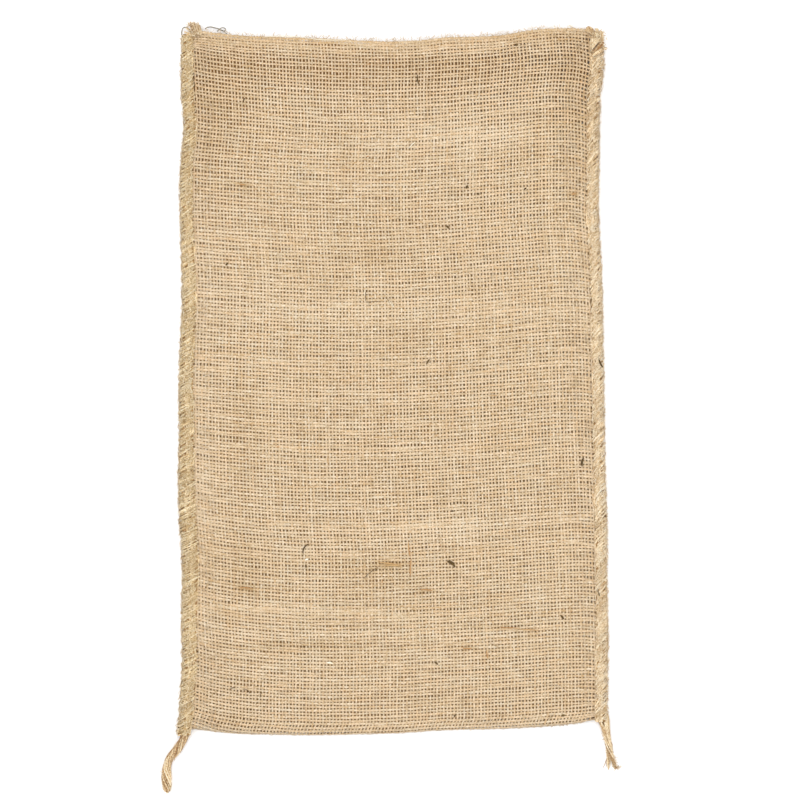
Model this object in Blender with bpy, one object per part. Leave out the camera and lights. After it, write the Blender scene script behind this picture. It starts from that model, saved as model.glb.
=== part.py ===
"""A jute sack, empty and laid flat on its back.

One length of plain-woven jute is folded across its middle: the fold is the sack's bottom and the
two selvedges are its mouth. The cut side edges are turned in and whipped together over the edge
with jute twine, which starts at the mouth and ends in a free tail below the fold on each side.

The sack lies on z = 0 with its mouth towards +Y. The origin is the middle of its footprint.
Tables are in millimetres; everything else is in metres.
"""

import math

import bmesh
import bpy
from mathutils import Vector

MM = 0.001

# Cloth
CLOTH_THICK = 1.4 * MM          # two yarns crossing, pressed flat
HEM_THICK = 2.2 * MM            # the cloth and its turned-in edge
HEM_WIDTH = 9.5 * MM            # how far the edge is turned in
HEM_GAP = 0.5 * MM              # between the two hems inside a seam
CLOTH_LIFT = 7.2 * MM           # the front layer's underside, over the surface
FOLD_HEIGHT = 5.4 * MM          # outside height of the fold, between the seams
FOLD_SLOPE = 42.0 * MM          # over which the front layer comes down to the fold
FRONT_SHOULDER = 24.0 * MM      # over which the front layer rises from a hem
BACK_SHOULDER = 14.0 * MM       # over which the back layer sinks from a hem
BACK_SHORT = 1.5 * MM           # the back layer's mouth lies this far inside the front's

# Seams
TWINE_THICK = 1.5 * MM          # one stitch, pressed flat
PIECE_GAP = 0.3 * MM            # between neighbouring pieces
SEAM_WIDTH = 10.6 * MM
SEAM_CORNER = 2.2 * MM          # rounding of a stitch where it turns over the edge
LEFT_SEAM_END = -254.0 * MM     # the left seam's last stitch passes below the fold
RIGHT_SEAM_END = -244.5 * MM

# Free ends of the twine
TAIL_THICK = 4.8 * MM
TAIL_SPACING = 2.2 * TAIL_THICK
KNOT_SIZE = Vector((13.3, 14.7, 6.4)) * MM
KNOT_PLACE = Vector((144.9, 241.6)) * MM
KNOT_SINK = 0.8 * MM            # the knot's middle lies this far over its flat seat
KNOT_LOBES = ((2, 0.10, 1.9), (5, 0.05, 0.0))   # turns of twine. Columns: count, swell, start
TUFT_THICK = 2.0 * MM
TUFT_LIFT = 5.0 * MM

# How finely the cloth is faceted
ROWS = 27                       # along each layer, from the fold to the mouth
ROW_CROWDING = 1.25             # above 1, the rows lie closer together near the fold
FOLD_STEPS = 8
MIDDLE_COLUMNS = 16
ROUTE_STEPS = 16                # between two points of a twine's route, before it is evened out

# Heights that follow from the above
EDGE_CLEAR = TWINE_THICK + PIECE_GAP
HEM_LOW = EDGE_CLEAR
HEM_HIGH = HEM_LOW + 2 * HEM_THICK + HEM_GAP
SEAM_HEIGHT = HEM_HIGH + EDGE_CLEAR
FRONT_HIGH = CLOTH_LIFT + CLOTH_THICK

# Outer side of each seam. Columns: y, x.
LEFT_SIDE = (
    (-254.0, -153.7), (-249.0, -153.2), (-241.0, -151.6), (-224.0, -150.9), (-207.0, -149.5),
    (-164.0, -150.2), (-129.0, -149.5), (-96.0, -151.6), (-15.0, -151.6), (27.0, -150.2),
    (66.0, -148.7), (108.0, -150.2), (151.0, -150.2), (177.0, -147.3), (246.0, -148.7),
)
RIGHT_SIDE = (
    (-245.0, 152.6), (-190.0, 153.7), (-122.0, 153.0), (-87.0, 152.3), (-36.0, 150.9),
    (23.0, 150.2), (91.0, 148.0), (108.0, 146.6), (160.0, 147.3), (202.0, 147.3),
    (219.0, 150.9), (248.0, 150.2),
)
# The mouth sags in its middle and the fold bows out. Columns: x, y.
MOUTH = (
    (-149.0, 245.5), (-110.0, 243.7), (-72.0, 242.3), (-25.0, 240.5), (9.0, 240.1),
    (34.0, 241.5), (77.0, 244.4), (103.0, 247.9), (128.0, 248.3), (150.0, 247.6),
)
FOLD = (
    (-149.0, -247.3), (-136.0, -248.0), (-110.0, -250.8), (-65.0, -253.0), (-25.0, -252.6),
    (9.0, -251.6), (60.0, -248.7), (111.0, -245.9), (137.0, -243.7), (151.0, -240.2),
)
# Soft rises and hollows of the front layer. Columns: x, y, half length in x, in y, height.
SWELLS = (
    (-112.0, 186.0, 40.0, 64.0, 0.9), (112.0, 168.0, 44.0, 70.0, 1.0),
    (-20.0, 92.0, 100.0, 44.0, 0.7), (60.0, -10.0, 90.0, 60.0, 0.8),
    (-84.0, -62.0, 56.0, 60.0, -0.6), (-40.0, -150.0, 100.0, 52.0, -0.5),
    (100.0, -128.0, 50.0, 60.0, 0.8), (10.0, 214.0, 90.0, 44.0, -0.5),
)
# Where each seam draws the cloth into short puckers. Columns: y, half length, height.
LEFT_PUCKERS = ((186.0, 30.0, 0.7), (112.0, 34.0, 0.6), (40.0, 30.0, 0.8), (-30.0, 34.0, 0.6),
                (-108.0, 38.0, 0.7), (-186.0, 34.0, 0.6))
RIGHT_PUCKERS = ((204.0, 30.0, 0.7), (134.0, 34.0, 0.7), (58.0, 34.0, 0.6), (-22.0, 36.0, 0.8),
                 (-100.0, 34.0, 0.6), (-178.0, 38.0, 0.7))
PUCKER_REACH = 46.0 * MM        # how far a pucker runs into the cloth

# Routes of the free ends, from the seam to the tip. Columns: x, y, z.
TAIL_LEFT = (
    (-146.2, -248.6, 4.25), (-145.6, -252.0, 4.25), (-146.4, -256.0, 4.1), (-149.2, -261.0, 3.2),
    (-152.2, -266.2, 2.6), (-156.4, -271.0, 2.5), (-159.4, -276.0, 2.5), (-160.2, -283.0, 2.5),
    (-159.2, -294.0, 2.5),
)
TAIL_RIGHT = (
    (147.7, -242.4, 4.25), (148.2, -245.6, 4.25), (150.2, -249.6, 3.8), (153.0, -254.8, 3.0),
    (155.0, -260.6, 2.6), (157.2, -267.4, 2.5), (159.8, -277.6, 2.5),
)
# Upper edge of the frayed tuft, left to right, above the mouth. Columns: x, y.
TUFT_EDGE = (
    (-145.4, 251.6), (-143.4, 250.2), (-141.8, 254.0), (-139.8, 251.0), (-137.8, 252.4),
    (-136.6, 249.0),
)
TUFT_FOOT = ((-143.4, 246.0), (-137.4, 245.7))

JUTE = "#D4BA98"
TWINE = "#D2B48A"


def linear(hex_colour):
    """The linear RGBA value of an sRGB colour."""
    channels = (int(hex_colour[i:i + 2], 16) / 255 for i in (1, 3, 5))
    return (*(c / 12.92 if c <= 0.04045 else ((c + 0.055) / 1.055) ** 2.4 for c in channels), 1.0)


def make_material(name, hex_colour, roughness):
    """A matt fibre finish."""
    material = bpy.data.materials.new(name)
    material.use_nodes = True
    shader = material.node_tree.nodes["Principled BSDF"]
    shader.inputs["Base Color"].default_value = linear(hex_colour)
    shader.inputs["Roughness"].default_value = roughness
    shader.inputs["Metallic"].default_value = 0.0
    return material


def add_object(name, build, material):
    """One closed, outward-facing mesh object from a bmesh."""
    bmesh.ops.recalc_face_normals(build, faces=build.faces)
    mesh = bpy.data.meshes.new(name)
    build.to_mesh(mesh)
    build.free()
    mesh.materials.append(material)
    item = bpy.data.objects.new(name, mesh)
    bpy.context.collection.objects.link(item)
    return item


def mix(low, high, share):
    return low + (high - low) * share


def ease(share):
    """0 to 1 with level ends."""
    share = min(max(share, 0.0), 1.0)
    return share * share * (3 - 2 * share)


def smooth_line(table, at):
    """Read a table of millimetres at a place in metres, along a smooth curve through its rows."""
    at = min(max(at / MM, table[0][0]), table[-1][0])
    row = 0
    while row < len(table) - 2 and at > table[row + 1][0]:
        row += 1

    def slope(index):
        before = table[max(index - 1, 0)]
        after = table[min(index + 1, len(table) - 1)]
        return (after[1] - before[1]) / (after[0] - before[0])

    (start, low), (end, high) = table[row], table[row + 1]
    span = end - start
    t = (at - start) / span
    value = (low * (1 + 2 * t) * (1 - t) ** 2 + span * slope(row) * t * (1 - t) ** 2
             + high * t * t * (3 - 2 * t) + span * slope(row + 1) * t * t * (t - 1))
    return value * MM


def cloth_x(across, y):
    """The cloth's x at a share of its width, and the distance from its nearer side edge."""
    left = smooth_line(LEFT_SIDE, y) + EDGE_CLEAR
    right = smooth_line(RIGHT_SIDE, y) - EDGE_CLEAR
    return mix(left, right, across), min(across, 1 - across) * (right - left)


def cloth_y(across, along, short=0.0):
    """The cloth's y at a share of its width, along 0..1 from the fold to the mouth."""
    rough_x = mix(LEFT_SIDE[0][1], RIGHT_SIDE[0][1], across) * MM
    return mix(smooth_line(FOLD, rough_x), smooth_line(MOUTH, rough_x) - short, along)


def hump(distance, half_length):
    """1 at its middle, 0 beyond its half length, with soft flanks."""
    return ease(1 - abs(distance) / half_length)


def front_rise(x, y, from_edge):
    """How far the front layer stands off its even height, in metres."""
    rise = sum(height * hump(x / MM - mid_x, half_x) * hump(y / MM - mid_y, half_y)
               for mid_x, mid_y, half_x, half_y, height in SWELLS)
    puckers = LEFT_PUCKERS if x < 0 else RIGHT_PUCKERS
    fade = hump(from_edge - HEM_WIDTH, PUCKER_REACH)
    rise += fade * sum(height * hump(y / MM - mid_y, half) for mid_y, half, height in puckers)
    return rise * MM


def cloth_thickness(from_edge):
    return mix(HEM_THICK, CLOTH_THICK, ease((from_edge - HEM_WIDTH + MM) / (2 * MM)))


def front_height(x, y, from_edge, from_fold):
    """Outer height of the front layer."""
    middle = mix(FOLD_HEIGHT, FRONT_HIGH + front_rise(x, y, from_edge), ease(from_fold / FOLD_SLOPE))
    return mix(HEM_HIGH, middle, ease((from_edge - HEM_WIDTH) / FRONT_SHOULDER))


def back_height(from_edge):
    """Outer height of the back layer: flat on the surface between the seams."""
    return mix(HEM_LOW, 0.0, ease((from_edge - HEM_WIDTH) / BACK_SHOULDER))


def cloth_columns():
    """Places across the cloth, closer together where a hem ends and the cloth shoulders up."""
    width = (RIGHT_SIDE[0][1] - LEFT_SIDE[0][1]) * MM - 2 * EDGE_CLEAR
    near = [0.0, HEM_WIDTH - MM, HEM_WIDTH + MM, HEM_WIDTH + 6 * MM, HEM_WIDTH + 12 * MM,
            HEM_WIDTH + FRONT_SHOULDER]
    sides = [place / width for place in near]
    inner = [mix(sides[-1], 1 - sides[-1], step / MIDDLE_COLUMNS) for step in range(1, MIDDLE_COLUMNS)]
    return sides + inner + [1 - place for place in reversed(sides)]


def row_shares():
    """Places along a layer from the fold to the mouth, closer together near the fold."""
    return [(row / ROWS) ** ROW_CROWDING for row in range(1, ROWS + 1)]


def cloth_section(across):
    """Outer and inner line of the folded cloth at one place across: mouth, front, fold, back."""
    outer, inner = [], []
    fold_y = cloth_y(across, 0.0)
    fold_x, fold_edge = cloth_x(across, fold_y)
    thick = cloth_thickness(fold_edge)
    top = front_height(fold_x, fold_y, fold_edge, 0.0)
    low = back_height(fold_edge)
    radius = (top - low) / 2
    for share in reversed(row_shares()):
        y = max(cloth_y(across, share), fold_y + radius)
        x, edge = cloth_x(across, y)
        height = front_height(x, y, edge, y - fold_y - radius)
        outer.append((x, y, height))
        inner.append((x, y, height - cloth_thickness(edge)))
    for step in range(FOLD_STEPS + 1):
        turn = math.pi * step / FOLD_STEPS
        for line, reach in ((outer, radius), (inner, radius - thick)):
            y = fold_y + radius - reach * math.sin(turn)
            line.append((cloth_x(across, y)[0], y, (top + low) / 2 + reach * math.cos(turn)))
    for share in row_shares():
        y = cloth_y(across, share, BACK_SHORT)
        x, edge = cloth_x(across, y)
        height = back_height(edge)
        outer.append((x, y, height))
        inner.append((x, y, height + cloth_thickness(edge)))
    return outer, inner


def make_cloth(material):
    """The folded cloth: its sections side by side, skinned outside, inside and round the rims."""
    build = bmesh.new()
    columns = []
    for across in cloth_columns():
        outer, inner = cloth_section(across)
        columns.append(([build.verts.new(p) for p in outer], [build.verts.new(p) for p in inner]))
    for (outer_a, inner_a), (outer_b, inner_b) in zip(columns, columns[1:]):
        for i in range(len(outer_a) - 1):
            build.faces.new((outer_a[i], outer_b[i], outer_b[i + 1], outer_a[i + 1]))
            build.faces.new((inner_a[i + 1], inner_b[i + 1], inner_b[i], inner_a[i]))
        for end in (0, -1):
            build.faces.new((outer_a[end], outer_b[end], inner_b[end], inner_a[end]))
    for outer, inner in (columns[0], columns[-1]):
        for i in range(len(outer) - 1):
            build.faces.new((outer[i], outer[i + 1], inner[i + 1], inner[i]))
    bmesh.ops.triangulate(build, faces=build.faces)
    return add_object("sack_cloth", build, material)


def seam_section():
    """A stitch seen along the seam: a C over the two hems. Columns: inwards, z."""
    corner = SEAM_CORNER
    bend = corner * (1 - math.sqrt(0.5))
    high = SEAM_HEIGHT
    return (
        (SEAM_WIDTH, 0.0), (corner, 0.0), (bend, bend), (0.0, corner),
        (0.0, high - corner), (bend, high - bend), (corner, high), (SEAM_WIDTH, high),
        (SEAM_WIDTH, high - TWINE_THICK), (TWINE_THICK, high - TWINE_THICK),
        (TWINE_THICK, TWINE_THICK), (SEAM_WIDTH, TWINE_THICK),
    )


def make_seam(name, table, across, end_y, material):
    """The whipped twine of one side, a C-shaped run from below the fold to the mouth."""
    inward = 1 if across == 0 else -1
    fold_y = cloth_y(across, 0.0)
    stations = [end_y, fold_y, fold_y + SEAM_HEIGHT / 2]
    stations += [cloth_y(across, share) for share in row_shares()]
    build = bmesh.new()
    rings = []
    for y in stations:
        side = smooth_line(table, y)
        rings.append([build.verts.new((side + inward * deep, y, z)) for deep, z in seam_section()])
    for ring_a, ring_b in zip(rings, rings[1:]):
        for i, corner in enumerate(ring_a):
            following = (i + 1) % len(ring_a)
            build.faces.new((corner, ring_a[following], ring_b[following], ring_b[i]))
    build.faces.new(rings[0])
    build.faces.new(rings[-1])
    bmesh.ops.triangulate(build, faces=build.faces)
    return add_object(name, build, material)


def make_knot(material):
    """The outer form of the knot that starts the right seam, flat where it sits on the seam."""
    build = bmesh.new()
    bmesh.ops.create_icosphere(build, subdivisions=3, radius=0.5)
    seat = SEAM_HEIGHT + PIECE_GAP
    for vert in build.verts:
        turn = math.atan2(vert.co.y, vert.co.x)
        reach = 1 + sum(swell * math.cos(count * turn - start) for count, swell, start in KNOT_LOBES)
        x = vert.co.x * reach * KNOT_SIZE.x + KNOT_PLACE.x
        y = vert.co.y * reach * KNOT_SIZE.y + KNOT_PLACE.y
        vert.co = (x, y, max(vert.co.z * KNOT_SIZE.z + seat + KNOT_SINK, seat))
    for face in build.faces:
        face.smooth = True
    return add_object("knot_right", build, material)


def make_tuft(material):
    """The frayed end of the left seam's twine, fanned out past the mouth."""
    build = bmesh.new()
    outline = [Vector((x, y)) * MM for x, y in (*TUFT_EDGE, TUFT_FOOT[1], TUFT_FOOT[0])]
    low = [build.verts.new((*point, TUFT_LIFT)) for point in outline]
    high = [build.verts.new((*point, TUFT_LIFT + TUFT_THICK)) for point in outline]
    build.faces.new(low)
    build.faces.new(high)
    for i, corner in enumerate(low):
        following = (i + 1) % len(low)
        build.faces.new((corner, low[following], high[following], high[i]))
    bmesh.ops.triangulate(build, faces=build.faces)
    return add_object("tuft_left", build, material)


def smooth_route(points, spacing):
    """Evenly spaced points on a smooth curve through a route's own points, in metres."""
    stops = [Vector(point) * MM for point in points]
    padded = [2 * stops[0] - stops[1], *stops, 2 * stops[-1] - stops[-2]]
    fine = []
    for a, b, c, d in zip(padded, padded[1:], padded[2:], padded[3:]):
        for step in range(ROUTE_STEPS):
            t = step / ROUTE_STEPS
            fine.append(0.5 * (2 * b + (c - a) * t + (2 * a - 5 * b + 4 * c - d) * t * t
                               + (3 * b - a - 3 * c + d) * t ** 3))
    fine.append(stops[-1])
    length = sum((q - p).length for p, q in zip(fine, fine[1:]))
    count = round(length / spacing)
    route, walked, index = [fine[0]], 0.0, 0
    for mark in range(1, count):
        goal = length * mark / count
        while walked + (fine[index + 1] - fine[index]).length < goal:
            walked += (fine[index + 1] - fine[index]).length
            index += 1
        step = fine[index + 1] - fine[index]
        route.append(fine[index] + step * ((goal - walked) / step.length))
    return route + [fine[-1]]


def make_tail(name, points, material):
    """A free end of twine, round and lying on the surface."""
    curve = bpy.data.curves.new(name, "CURVE")
    curve.dimensions = "3D"
    curve.bevel_depth = TAIL_THICK / 2
    curve.bevel_resolution = 2
    curve.use_fill_caps = True
    curve.materials.append(material)
    route = smooth_route(points, TAIL_SPACING)
    spline = curve.splines.new("POLY")
    spline.points.add(len(route) - 1)
    for point, place in zip(spline.points, route):
        point.co = (*place, 1.0)
    item = bpy.data.objects.new(name, curve)
    bpy.context.collection.objects.link(item)
    return item


for old in list(bpy.data.objects):
    bpy.data.objects.remove(old, do_unlink=True)

jute = make_material("woven_jute", JUTE, 0.9)
twine = make_material("jute_twine", TWINE, 0.85)
make_cloth(jute)
make_seam("seam_left", LEFT_SIDE, 0, LEFT_SEAM_END, twine)
make_seam("seam_right", RIGHT_SIDE, 1, RIGHT_SEAM_END, twine)
make_knot(twine)
make_tuft(twine)
make_tail("tail_left", TAIL_LEFT, twine)
make_tail("tail_right", TAIL_RIGHT, twine)
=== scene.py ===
import math
import random

import bmesh
import bpy
import numpy as np
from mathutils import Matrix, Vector
from mathutils.bvhtree import BVHTree


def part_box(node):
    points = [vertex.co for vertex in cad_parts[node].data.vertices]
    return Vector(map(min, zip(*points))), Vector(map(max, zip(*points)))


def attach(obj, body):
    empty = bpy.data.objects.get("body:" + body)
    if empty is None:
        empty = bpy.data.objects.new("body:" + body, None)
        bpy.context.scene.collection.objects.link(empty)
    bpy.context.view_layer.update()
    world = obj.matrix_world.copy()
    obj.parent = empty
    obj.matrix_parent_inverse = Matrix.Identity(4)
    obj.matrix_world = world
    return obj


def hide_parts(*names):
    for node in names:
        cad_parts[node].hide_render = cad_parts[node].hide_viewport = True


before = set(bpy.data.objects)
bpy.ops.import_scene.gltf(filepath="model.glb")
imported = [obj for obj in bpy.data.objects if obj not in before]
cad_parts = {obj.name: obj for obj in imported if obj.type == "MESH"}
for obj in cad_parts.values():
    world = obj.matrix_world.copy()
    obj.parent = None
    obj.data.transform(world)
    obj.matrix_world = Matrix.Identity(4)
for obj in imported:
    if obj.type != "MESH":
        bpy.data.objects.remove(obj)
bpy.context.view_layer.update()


# ---------------------------------------------------------------------------------------
# The cloth: one length of plain-woven jute, folded across its middle so that the fold is
# the sack's bottom and both selvedges are its mouth. Its yarns are soft, slubby and flat;
# some run up the sack and round the fold, and the others cross them over one, under one.
# ---------------------------------------------------------------------------------------
MM = 0.001
CLOTH_THICK = 1.4 * MM
CLOTH_WIDE = 0.29                  # from side to side: a yarn lies at a share of this
SEAM_COVER = 4.5 * MM              # the yarns stop this far inside the sack's outer edge
COLUMNS = 122                      # yarns up the sack, between the two seams' cover
SPARE_COLUMNS = 5                  # yarns that run out under a seam, as the weave is askew
ALL_COLUMNS = COLUMNS + SPARE_COLUMNS
FRONT_ROWS = 193                   # yarns across, from the mouth to the fold
ALL_ROWS = 2 * FRONT_ROWS + 1
COUNT_ACROSS = 130                 # the guide sheet's own map: this many columns
COUNT_ALONG = 400                  # and this many rows to its full width and length
SPARE_ROWS = 4                     # it runs on past both selvedges, for the hairs there
COLUMN_PITCH = 2.38 * MM
ROW_PITCH = 2.57 * MM
SELVEDGE_ROWS = ((0, 2.3), (4, 2.35), (6, 2.75), (70, 2.62), (193, 2.45))   # row, pitch in mm
SKEW = ((0, 0), (0.12, 3.0), (0.45, 5.2), (0.85, 8.4), (1.0, 10.6))    # depth, shift in mm
PULLS = (        # rows by the seams are drawn up: side, how far in, and how much at each depth
    ("left", 28, ((0, 5.0), (0.075, 6.0), (0.16, 4.0), (0.25, 2.5), (0.5, 2.5), (0.6, 5.4),
                  (0.68, 7.2), (0.77, 8.4), (1, 8.4))),
    ("right", 11, ((0, -7), (0.16, -6.6), (0.25, -6), (0.34, -5.2), (0.42, -3.6), (1, -3.3))),
    ("right", 40, ((0, 3), (1, 3))))
MOUTH_RISE = (   # the woven edge against the plain solid's: share of the way across, mm
    (0, 2.8), (0.03, 2.6), (0.06, 1.3), (0.09, 0.5), (0.14, -0.3), (0.19, 0.1), (0.3, 0.1),
    (0.34, 0.4), (0.4, -0.2), (0.5, -0.2), (0.58, -0.1), (0.63, 1.2), (0.68, 0.4), (0.73, -0.4),
    (0.78, -0.7), (0.83, 0.1), (0.9, 1.0), (0.94, 1.4), (0.98, 0.8), (1, 0.5))
FOLD_DROP = (    # and the fold's
    (0, 1.8), (0.04, 1.9), (0.08, 2.5), (0.14, 2.2), (0.18, 1.6), (0.24, 1), (0.56, 0.9),
    (0.62, 0.5), (0.68, 1), (0.73, 1.6), (0.78, 2), (0.9, 2.1), (1, 1.2))
END_REACH = 13 * MM                # rows follow the uneven mouth and fold no further than this
SMOOTHING = 34 * MM                # their unevenness is evened out over about this width
FOLD_LEAN = (3.0 * MM, 0.982)      # the yarns lean as they go round the fold: how far, from where
END_LOOPS = 0.42                   # the yarns up the sack end this share of a row past the last
STITCH_PITCH = 8.5 * MM
FIRST_STITCH = 0.2457              # its stitches are counted down from this y
PUCKER = (0.75 * MM, 5.0 * MM)     # rows are drawn to each stitch: how far, how deep
PINCH = 0.45 * MM                  # and columns this much
BACK_ASIDE = 0.35                  # the back layer's yarns lie this share of one aside
BACK_INSIDE = 1.5 * MM             # and its mouth this far inside the front's
CORNERS = (-236 * MM, 240 * MM)    # past these the sides run on as they are
FRONT_STEPS, FOLD_STEPS = 240, 9   # places measured down each layer, and round the fold
FAR = 0.5                          # measuring rays start this far off
ROW_STATIONS = np.arange(-SPARE_ROWS, ALL_ROWS + SPARE_ROWS - 0.5, 0.5)


def skin(node_name):
    """The outside of one of the frame's solids, for finding where it is."""
    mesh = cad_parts[node_name].data
    return BVHTree.FromPolygons([v.co.copy() for v in mesh.vertices],
                                [tuple(p.vertices) for p in mesh.polygons])


cloth_skin = skin("sack_cloth")
cloth_low, cloth_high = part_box("sack_cloth")


def edge_line(stations, axis, way, heights):
    """The cloth's edge at each station, looking along one axis at a few heights in mm."""
    edge = []
    for at in stations:
        start, look = Vector((at, at, 0)), Vector((0, 0, 0))
        start[axis], look[axis] = -way * FAR, way
        met = [cloth_skin.ray_cast(start + Vector((0, 0, z * MM)), look)[0] for z in heights]
        edge.append(min((way * hit[axis] for hit in met if hit is not None), default=math.nan))
    edge = np.array(edge) * way
    good = ~np.isnan(edge)
    return np.interp(stations, stations[good], edge[good])


side_y = np.linspace(cloth_low.y + 3 * MM, cloth_high.y - 3 * MM, 130)
end_x = np.linspace(cloth_low.x + 3 * MM, cloth_high.x - 3 * MM, 110)
left_x, right_x = [edge_line(side_y, 0, way, np.linspace(1.0, 6.4, 10)) for way in (1, -1)]
mouth_y = edge_line(end_x, 1, -1, (5, 6, 7, 7.6, 8, 8.4))
fold_y = edge_line(end_x, 1, 1, (1.5, 2.2, 2.7, 3.2, 4))


def surface_z(x, y, front):
    """Height of the cloth's middle surface in the front or back layer."""
    start, way = (FAR, -1) if front else (-FAR, 1)
    for nudge in (0, 1, 2, 4, 6):
        inward = nudge * MM
        place = Vector((x - math.copysign(inward, x), y - math.copysign(inward, y), start))
        hit = cloth_skin.ray_cast(place, Vector((0, 0, way)))[0]
        if hit is not None:
            return hit.z + way * CLOTH_THICK / 2
    return CLOTH_THICK / 2


def table_at(table, at):
    """A short two-column table, read in straight lines."""
    return np.interp(at, [row[0] for row in table], [row[1] for row in table])


def ease(low, high, value):
    t = np.clip((value - low) / (high - low), 0, 1)
    return t * t * (3 - 2 * t)


def run_of(points):
    """How far along a line each of its points lies."""
    return np.concatenate([[0], np.cumsum(np.linalg.norm(np.diff(points, axis=0), axis=1))])


def row_places():
    """Each row's share of the way from the mouth to the fold, closer set at the selvedge."""
    pitches = table_at(SELVEDGE_ROWS, np.arange(FRONT_ROWS + 1))
    places = np.concatenate([[0.0], np.cumsum(pitches)])[:FRONT_ROWS + 1]
    return (places + pitches[0] / 2) / (places[-1] + pitches[0] / 2)


def cloth_ends(share):
    """Where the yarn at this share of the width starts at the mouth and turns at the fold."""
    x = (share - 0.5) * CLOTH_WIDE
    return (np.interp(x, end_x, mouth_y) + table_at(MOUTH_RISE, share) * MM,
            np.interp(x, end_x, fold_y) - table_at(FOLD_DROP, share) * MM)


def even_ends(share):
    """The same two places, with the small unevenness smoothed away."""
    aside = np.linspace(-2.2, 2.2, 45)
    near = share + aside * SMOOTHING / CLOTH_WIDE
    weight = np.exp(-0.5 * aside ** 2)
    mirrored = np.where(near < 0, -near, np.where(near > 1, 2 - near, near))
    return [float((ends * weight).sum() / weight.sum()) for ends in cloth_ends(mirrored)]


def cloth_line(share):
    """One yarn's way down the front, round the fold and up the back."""
    top, foot = cloth_ends(share)
    solid_foot, solid_top = (np.interp((share - 0.5) * CLOTH_WIDE, end_x, ends)
                             for ends in (fold_y, mouth_y))

    def height(x, y, front):
        return surface_z(x, min(max(y, solid_foot + 4 * MM), solid_top - 2 * MM), front)

    def across(y):
        y = min(max(y, CORNERS[0]), CORNERS[1])
        low = np.interp(y, side_y, left_x) + SEAM_COVER
        high = np.interp(y, side_y, right_x) - SEAM_COVER
        return low + share * (high - low)

    turn_x = across(foot + 3 * MM)
    low_z = height(turn_x, foot, False)
    bend = (height(turn_x, foot, True) - low_z) / 2
    turn_y = foot + bend + CLOTH_THICK / 2
    down = [(across(y), y, height(across(y), y, True))
            for y in np.linspace(top, turn_y, FRONT_STEPS)]
    fold = [(turn_x, turn_y - bend * math.cos(a), low_z + bend + bend * math.sin(a))
            for a in np.radians(np.linspace(80, -80, FOLD_STEPS))]
    up = [(across(y), y, height(across(y), y, False))
          for y in np.linspace(turn_y, top - BACK_INSIDE, FRONT_STEPS)]
    return np.array(down + fold + up)


def pull_at(share, depth):
    """How far the rows are drawn towards the mouth beside the seams."""
    total = 0.0
    for side, reach, amounts in PULLS:
        away = (share if side == "left" else 1 - share) * CLOTH_WIDE / MM
        total += table_at(amounts, min(depth, 2 - depth)) * math.exp(-away / reach) * MM
    return total * ease(0, 0.04, depth) * (1 - ease(1.1, 1.4, depth))


def weave_guide():
    """The middle surface of the whole cloth, mapped by row and column of the weave. A depth
    is 0 at the front's mouth, 1 at the fold and 2 at the back's mouth."""
    near = np.arange(0, 16, 1.2) * MM / CLOTH_WIDE
    shares = np.concatenate([near, np.linspace(0.056, 0.944, 46), 1 - near[::-1]])
    half = row_places()
    from_end = np.minimum(ROW_STATIONS, ALL_ROWS - 1 - ROW_STATIONS)
    inner = np.interp(from_end, np.arange(len(half)), half)
    beyond = np.maximum(from_end, -1) * END_LOOPS + np.minimum(from_end + 1, 0)
    inner = np.where(from_end < 0, half[0] + beyond * (half[1] - half[0]), inner)
    depths = np.where(ROW_STATIONS > (ALL_ROWS - 1) / 2, 2 - inner, inner)
    folded = np.minimum(depths, 2 - depths)
    points, counts = [], []
    for share in shares:
        line = cloth_line(share)
        steps = run_of(line)
        whole = steps[-1]
        top_off, fold_off = np.array(cloth_ends(share)) - even_ends(share)
        place = top_off + folded * (whole / 2 - top_off + fold_off)
        place = (place - top_off * np.exp(-np.maximum(place, 0) / END_REACH)
                 - fold_off * np.exp(-np.maximum(whole / 2 - place, 0) / END_REACH))
        place = np.where(depths > 1, whole - place, place)
        place = place - np.array([pull_at(share, d) for d in depths])
        y = np.interp(np.clip(place, 0, whole), steps, line[:, 1])
        phase = 2 * math.pi * (y - FIRST_STITCH) / STITCH_PITCH
        by_seam = math.exp(-min(share, 1 - share) * CLOTH_WIDE / PUCKER[1])
        wave = PUCKER[0] * by_seam * ease(0.01, 0.04, depths)
        place = place + wave * np.sin(phase) * np.where(depths < 1, 1, -1)
        spots = np.stack([np.interp(place, steps, line[:, k]) for k in range(3)], axis=1)
        over = np.minimum(place, 0) + np.maximum(place - whole, 0)
        spots[:, 1] -= np.where(place < 0, over, -over)
        spots[:, 0] += (1 if share > 0.5 else -1) * PINCH * by_seam * np.cos(phase)
        spots[:, 0] -= FOLD_LEAN[0] * ease(FOLD_LEAN[1], 1.0, depths) * ease(0, 0.03, 1 - share)
        points.append(spots)
        columns = share * COLUMNS + SPARE_COLUMNS - table_at(SKEW, folded) * MM / COLUMN_PITCH
        columns = columns + BACK_ASIDE * ease(1.0, 1.04, depths)
        counts.append(np.stack([(columns + 0.5) / COUNT_ACROSS,
                                (ROW_STATIONS + SPARE_ROWS + 0.5) / COUNT_ALONG], axis=1))
    return np.array(points), np.array(counts)


def new_object(name, mesh):
    piece = bpy.data.objects.new(name, mesh)
    bpy.context.scene.collection.objects.link(piece)
    return piece


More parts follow.
